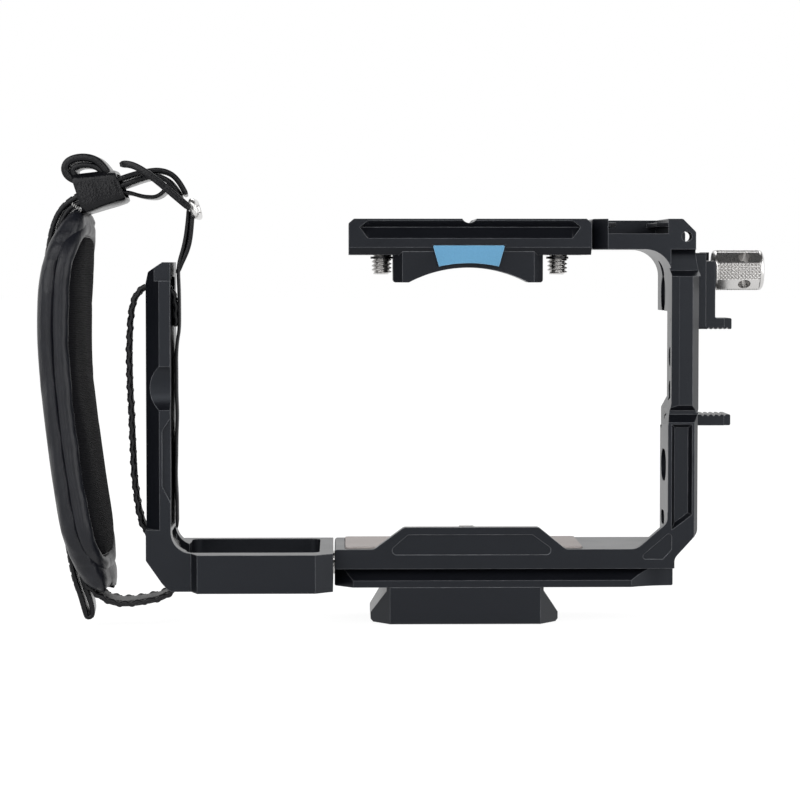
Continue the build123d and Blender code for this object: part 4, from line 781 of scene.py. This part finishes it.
def make_pad_border():
    """The leather band that frames the lining. Its rows are (inset from the outline, height)."""
    half_width, bottom, top, radius = 21.0, 17.6, 124.6, 17.0
    rows = (
        (-0.7, -2.4), (-1.2, -0.9), (-0.9, 0.6), (0.0, 1.7), (1.2, 2.4), (2.5, 2.6), (3.5, 2.2),
        (4.1, 1.3), (4.3, 0.2), (2.0, -1.2),
    )
    rings = []
    for inset, height in rows:
        outline = rounded_outline(half_width - inset, bottom + inset, top - inset, radius - inset)
        ring = []
        for k, (w, z) in enumerate(outline):
            ripple = 0.07 * wave(k, 11.3, 1.0) + 0.05 * wave(k, 4.7)
            u = pad_inner(z) + height * (1 + 0.6 * ripple) - 0.15
            ring.append(pad_point(u, w + 0.5 * ripple, z))
        rings.append(ring)
    points, faces = loft(rings, closed=True)
    band = make_piece("pad_border_leather", points, faces, "pad_leather", "bracket")
    refine(band)


def make_pad_lining():
    """The ribbed lining, which swells out of its leather frame. Its rows are as the band's."""
    half_width, bottom, top, radius = 18.6, 21.0, 121.6, 15.5
    rows = (
        (half_width, -0.4), (9.0, -0.4), (1.2, -0.3), (0.0, 0.7), (0.3, 1.9), (1.1, 2.8), (2.6, 3.35),
        (5.0, 3.6), (9.0, 3.75), (13.5, 3.8), (half_width, 3.8),
    )
    rings = []
    for inset, height in rows:
        outline = rounded_outline(half_width - inset, bottom + inset, top - inset, radius - inset)
        ring = []
        for w, z in outline:
            sag = 0.18 * wave(z, 47.0, 0.5) + 0.12 * wave(w + z * 0.3, 19.0)
            ring.append(pad_point(pad_inner(z) + height * (1 + 0.25 * sag), w, z))
        rings.append(ring)
    points, faces = loft(rings, capped=False)
    lining = make_piece("pad_lining_fabric", points, faces, "black_fabric", "bracket")
    weld(lining)
    inflate(lining, pressure=4.0, cap=0.5, voxel=1.4)
    refine(lining)
    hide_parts("pad_lining")


# ---- Knob and screws ---------------------------------------------------------------------------------
SCREW_RADIUS = 3.16     # the crest of a 1/4"-20 thread
SCREW_PITCH = 1.27
SCREW_STEP = 0.085      # between two rings of points along a thread
TIP_CHAMFER = 0.75
CHAMFER_SLOPE = 1.1


def carve(piece, cutter):
    """Takes a cutter's shape out of a piece, and removes the cutter."""
    bpy.context.view_layer.update()
    cut = piece.modifiers.new("cut", "BOOLEAN")
    cut.operation = "DIFFERENCE"
    cut.solver = "EXACT"
    cut.object = cutter
    with bpy.context.temp_override(object=piece, active_object=piece):
        bpy.ops.object.modifier_apply(modifier=cut.name)
    bpy.data.objects.remove(cutter)


def turned(name, profile, height, around, body, slot, axis, segments, material=None):
    """A skin turned about an axis: profile holds (place along the axis, radius), height adds relief.

    axis is "x" or "z", and around is the axis' place as the two other coordinates.
    """
    rings = []
    for along, radius in profile:
        ring = []
        for k in range(segments):
            angle = 2 * math.pi * k / segments
            r = max(0.0, radius + height(along, angle))
            a, b = r * math.cos(angle), r * math.sin(angle)
            if axis == "x":
                ring.append(Vector((along, around[0] + a, around[1] + b)))
            else:
                ring.append(Vector((around[0] + a, around[1] + b, along)))
        rings.append(ring)
    points, faces = loft(rings, capped=False)
    piece = make_piece(name, points, faces, material or slot, body)
    weld(piece)
    crease(piece, 40)
    return piece


def make_knob():
    """The clamp's knob: diamond knurl, four milled flats, chamfered ends and two crossed bar holes.

    The flats are a quarter turn apart, and the holes run through their middles.
    """
    low, high = (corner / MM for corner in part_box("knob"))
    y, z = (low[1] + high[1]) / 2, (low[2] + high[2]) / 2
    radius = (high[2] - low[2]) / 2
    face, end = high[0] - 15.95, high[0]
    stud, recess, hole_at = 3.0, 5.15, 9.7
    teeth, pitch, depth = 32, 1.15, 0.45
    flat_turn, flat_half = 48, math.radians(21)
    first, last = face + 0.9, end - 1.3

    def knurl(x, angle):
        if not first < x < last:
            return 0.0
        off = (angle - math.radians(flat_turn) + math.pi / 4) % (math.pi / 2) - math.pi / 4
        if abs(off) < flat_half:
            return radius * (math.cos(flat_half) / math.cos(off) - 1)
        rise = (x - first) / pitch
        ridge = abs(math.sin(teeth / 2 * angle + math.pi * rise))
        cross = abs(math.sin(teeth / 2 * angle - math.pi * rise))
        fade = min(1.0, (x - first) / 0.3, (last - x) / 0.3)
        return -depth * fade * max(0.0, 1 - 1.15 * min(ridge, cross))

    profile = [
        (low[0], 0.0), (low[0], stud - 0.4), (low[0] + 0.4, stud), (face + 0.95, stud),
        (face + 0.95, recess), (face + 0.15, recess), (face, recess + 0.15), (face, radius - 0.6),
        (face + 0.12, radius - 0.35), (face + 0.45, radius - 0.06), (face + 0.8, radius),
    ]
    count = 108
    profile += [(first + (last - first) * k / count, radius) for k in range(count + 1)]
    profile += [
        (end - 1.15, radius), (end - 0.8, radius - 0.04), (end - 0.35, radius - 0.4),
        (end - 0.08, radius - 0.8), (end, radius - 1.1), (end, 1.6), (end - 0.5, 1.1), (end - 0.5, 0.0),
    ]
    knob = turned("knob_knurled", profile, knurl, (y, z), "clamp_knob", "bright_knurled", "x", 256)
    for turn, bore in ((flat_turn, 2.1), (flat_turn - 90, 2.0)):
        bpy.ops.mesh.primitive_cylinder_add(
            vertices=64, radius=bore * MM, depth=3 * radius * MM,
            location=Vector((face + hole_at, y, z)) * MM, rotation=(math.radians(turn), 0, 0),
        )
        carve(knob, bpy.context.object)
    crease(knob, 38)
    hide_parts("knob")


def thread(pitch, top, bottom):
    """Relief of a right-hand thread between two heights, run out softly at its ends."""

    def height(z, angle):
        if not bottom < z < top:
            return 0.0
        turn = (z / pitch - angle / (2 * math.pi)) % 1.0
        tooth = abs(turn - 0.5) * 2
        depth = 0.61 * pitch * min(1.0, max(0.0, (tooth - 0.12) / 0.76))
        return -depth * min(1.0, (z - bottom) / 0.8 + 0.35) * min(1.0, (top - z) / 0.6)

    return height


def tip_radius(from_tip):
    """A screw's radius at a distance from its tip, which is chamfered."""
    return min(SCREW_RADIUS, SCREW_RADIUS - TIP_CHAMFER + from_tip * CHAMFER_SLOPE)


def threaded_screw(name, node, body, slot, top, tip, head):
    """A screw whose thread is a helix, tip down. head is the head's profile, from its face up."""
    low, high = (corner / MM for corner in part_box(node))
    x, y = (low[0] + high[0]) / 2, (low[1] + high[1]) / 2
    steps = max(8, round((top - tip) / SCREW_STEP))
    heights = [tip + (top - tip) * k / steps for k in range(steps + 1)]
    rod = [(z, tip_radius(z - tip)) for z in heights]
    profile = [(tip, 0.0)] + rod + head
    relief = thread(SCREW_PITCH, top, tip - 0.1)
    screw = turned(name, profile, relief, (x, y), body, slot, "z", 72)
    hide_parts(node)


def make_screws():
    """The two captive screws, which hang from the rail plate with their threads down."""
    for side in ("left", "right"):
        low, high = (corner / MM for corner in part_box("captive_screw_" + side))
        top, edge = high[2], (high[0] - low[0]) / 2
        under, neck, socket, socket_depth = top - 3.5, 3.175, 2.3, 2.2
        head = [
            (under, neck), (under, edge - 0.2), (under + 0.2, edge), (top - 0.5, edge),
            (top, edge - 0.5), (top, socket), (top - socket_depth, socket - 0.1),
            (top - socket_depth, 0.0),
        ]
        threaded_screw(
            "captive_thread_" + side, "captive_screw_" + side, "captive_" + side, "stainless",
            under - 1.2, low[2], head,
        )


def make_camera_screw():
    """The screw that holds the camera: a slotted head under the base and a threaded tip above it."""
    low, high = (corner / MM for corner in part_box("camera_screw"))
    x, y, base, tip = (low[0] + high[0]) / 2, (low[1] + high[1]) / 2, low[2], high[2]
    edge, shoulder = (high[0] - low[0]) / 2, low[2] + 4.2
    profile = [
        (base, 0.0), (base, edge - 0.4), (base + 0.4, edge), (shoulder - 0.2, edge),
        (shoulder, edge - 0.2), (shoulder, SCREW_RADIUS),
    ]
    steps = round((tip - shoulder) / SCREW_STEP)
    for k in range(steps + 1):
        z = shoulder + (tip - shoulder) * k / steps
        profile.append((z, tip_radius(tip - z)))
    profile.append((tip, 0.0))
    relief = thread(SCREW_PITCH, tip + 0.1, shoulder + 1.0)
    screw = turned("camera_screw_thread", profile, relief, (x, y), "camera_bolt", "stainless", "z", 72)
    slot_length, slot_width, slot_depth = 14.0, 2.0, 1.8
    bpy.ops.mesh.primitive_cube_add(size=1, location=Vector((x, y, base + slot_depth / 2)) * MM)
    cutter = bpy.context.object
    cutter.scale = Vector((slot_length, slot_width, slot_depth)) * MM
    carve(screw, cutter)
    crease(screw, 38)
    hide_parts("camera_screw")


# ---- Floor, light and world ------------------------------------------------------------------------
def make_stage():
    """White paper that the camera and gloss see as nearly white, and which still takes a shadow."""
    bpy.ops.mesh.primitive_plane_add(size=12, location=(0, 2.5, -0.0004))
    floor = bpy.context.object
    floor.name = "floor"
    t = Tree("floor_paper")
    t.surface(Base_Color=(0.86, 0.86, 0.86, 1), Roughness=0.9)
    path = t.add("LightPath")
    seen = t.maths("MAXIMUM", path.outputs["Is Camera Ray"], path.outputs["Is Glossy Ray"])
    seen = t.maths("MAXIMUM", seen, path.outputs["Is Transmission Ray"])
    glow = t.add("Emission", Color=(1, 1, 1, 1), Strength=1.1)
    blend = t.add("MixShader", Fac=t.maths("MULTIPLY", seen, 0.86))
    t.put(blend, "1", t.shader.outputs[0])
    t.put(blend, "2", glow.outputs[0])
    t.put(t.output, "Surface", blend.outputs[0])
    floor.data.materials.append(t.material)

    make_world()


def map_range(tree, value, source, target):
    """A smooth step that takes a value from one range to another."""
    node = tree.nodes.new("ShaderNodeMapRange")
    node.interpolation_type = "SMOOTHSTEP"
    tree.links.new(value, node.inputs["Value"])
    for side, low_high in (("From", source), ("To", target)):
        node.inputs[side + " Min"].default_value = low_high[0]
        node.inputs[side + " Max"].default_value = low_high[1]
    return node.outputs["Result"]


def make_world():
    """White where the camera looks, and a soft even light for everything else.

    Gloss sees a studio: dark on the camera's side, white behind the object, dim at the ceiling.
    """
    ambient = 0.55
    world = bpy.data.worlds.new("studio")
    bpy.context.scene.world = world
    world.use_nodes = True
    tree = world.node_tree
    back = tree.nodes["Background"]
    path = tree.nodes.new("ShaderNodeLightPath")
    seen = tree.nodes.new("ShaderNodeMath")
    seen.operation = "MAXIMUM"
    tree.links.new(path.outputs["Is Camera Ray"], seen.inputs[0])
    tree.links.new(path.outputs["Is Transmission Ray"], seen.inputs[1])
    place = tree.nodes.new("ShaderNodeTexCoord")
    split = tree.nodes.new("ShaderNodeSeparateXYZ")
    tree.links.new(place.outputs["Generated"], split.inputs[0])
    room = map_range(tree, split.outputs["Y"], (-0.12, 0.50), (0.02, 1.0))
    ceiling = map_range(tree, split.outputs["Z"], (0.35, 0.80), (1.0, 0.08))
    dimmed = tree.nodes.new("ShaderNodeMath")
    dimmed.operation = "MULTIPLY"
    tree.links.new(room, dimmed.inputs[0])
    tree.links.new(ceiling, dimmed.inputs[1])
    gloss = tree.nodes.new("ShaderNodeMix")
    gloss.inputs[2].default_value = ambient
    tree.links.new(path.outputs["Is Glossy Ray"], gloss.inputs[0])
    tree.links.new(dimmed.outputs[0], gloss.inputs[3])
    level = tree.nodes.new("ShaderNodeMix")
    level.inputs[3].default_value = 1.0
    tree.links.new(seen.outputs[0], level.inputs[0])
    tree.links.new(gloss.outputs[0], level.inputs[2])
    tree.links.new(level.outputs[0], back.inputs["Strength"])
    back.inputs["Color"].default_value = (1, 1, 1, 1)


def area_light(name, at, aim, size, power):
    """A plain white lamp, its place and size in metres."""
    data = bpy.data.lights.new(name, "AREA")
    data.shape = "RECTANGLE"
    data.size, data.size_y = size
    data.energy = power
    lamp = bpy.data.objects.new(name, data)
    lamp.location = at
    lamp.rotation_euler = (Vector(aim) - Vector(at)).to_track_quat("-Z", "Y").to_euler()
    bpy.context.scene.collection.objects.link(lamp)


def make_lights():
    middle = (-0.02, 0.0, 0.07)
    area_light("key", (-0.66, -0.62, 0.55), middle, (0.65, 0.8), 5.4)
    area_light("fill", (0.88, -0.40, 0.30), middle, (0.6, 0.8), 4.4)
    area_light("front_top", (0.0, -0.80, 0.58), middle, (0.9, 0.45), 3.2)
    area_light("back_top", (0.0, 0.60, 1.00), middle, (0.9, 0.6), 5.0)
    area_light("left_strip", (-0.36, -1.20, 0.12), middle, (0.3, 0.6), 2.0)
    area_light("right_strip", (0.42, -1.20, 0.16), middle, (0.3, 0.6), 2.4)
    area_light("left_side", (-0.95, 0.02, 0.20), middle, (0.25, 0.9), 2.0)
    area_light("right_side", (0.95, 0.02, 0.20), middle, (0.25, 0.9), 2.0)


make_camera()
dress_cad()
make_straps()
make_keeper()
make_bar_tack()
make_slider()
make_pad_leather()
make_pad_border()
make_pad_lining()
make_knob()
make_screws()
make_camera_screw()
make_stage()
make_lights()
bpy.context.scene.view_settings.view_transform = "Standard"
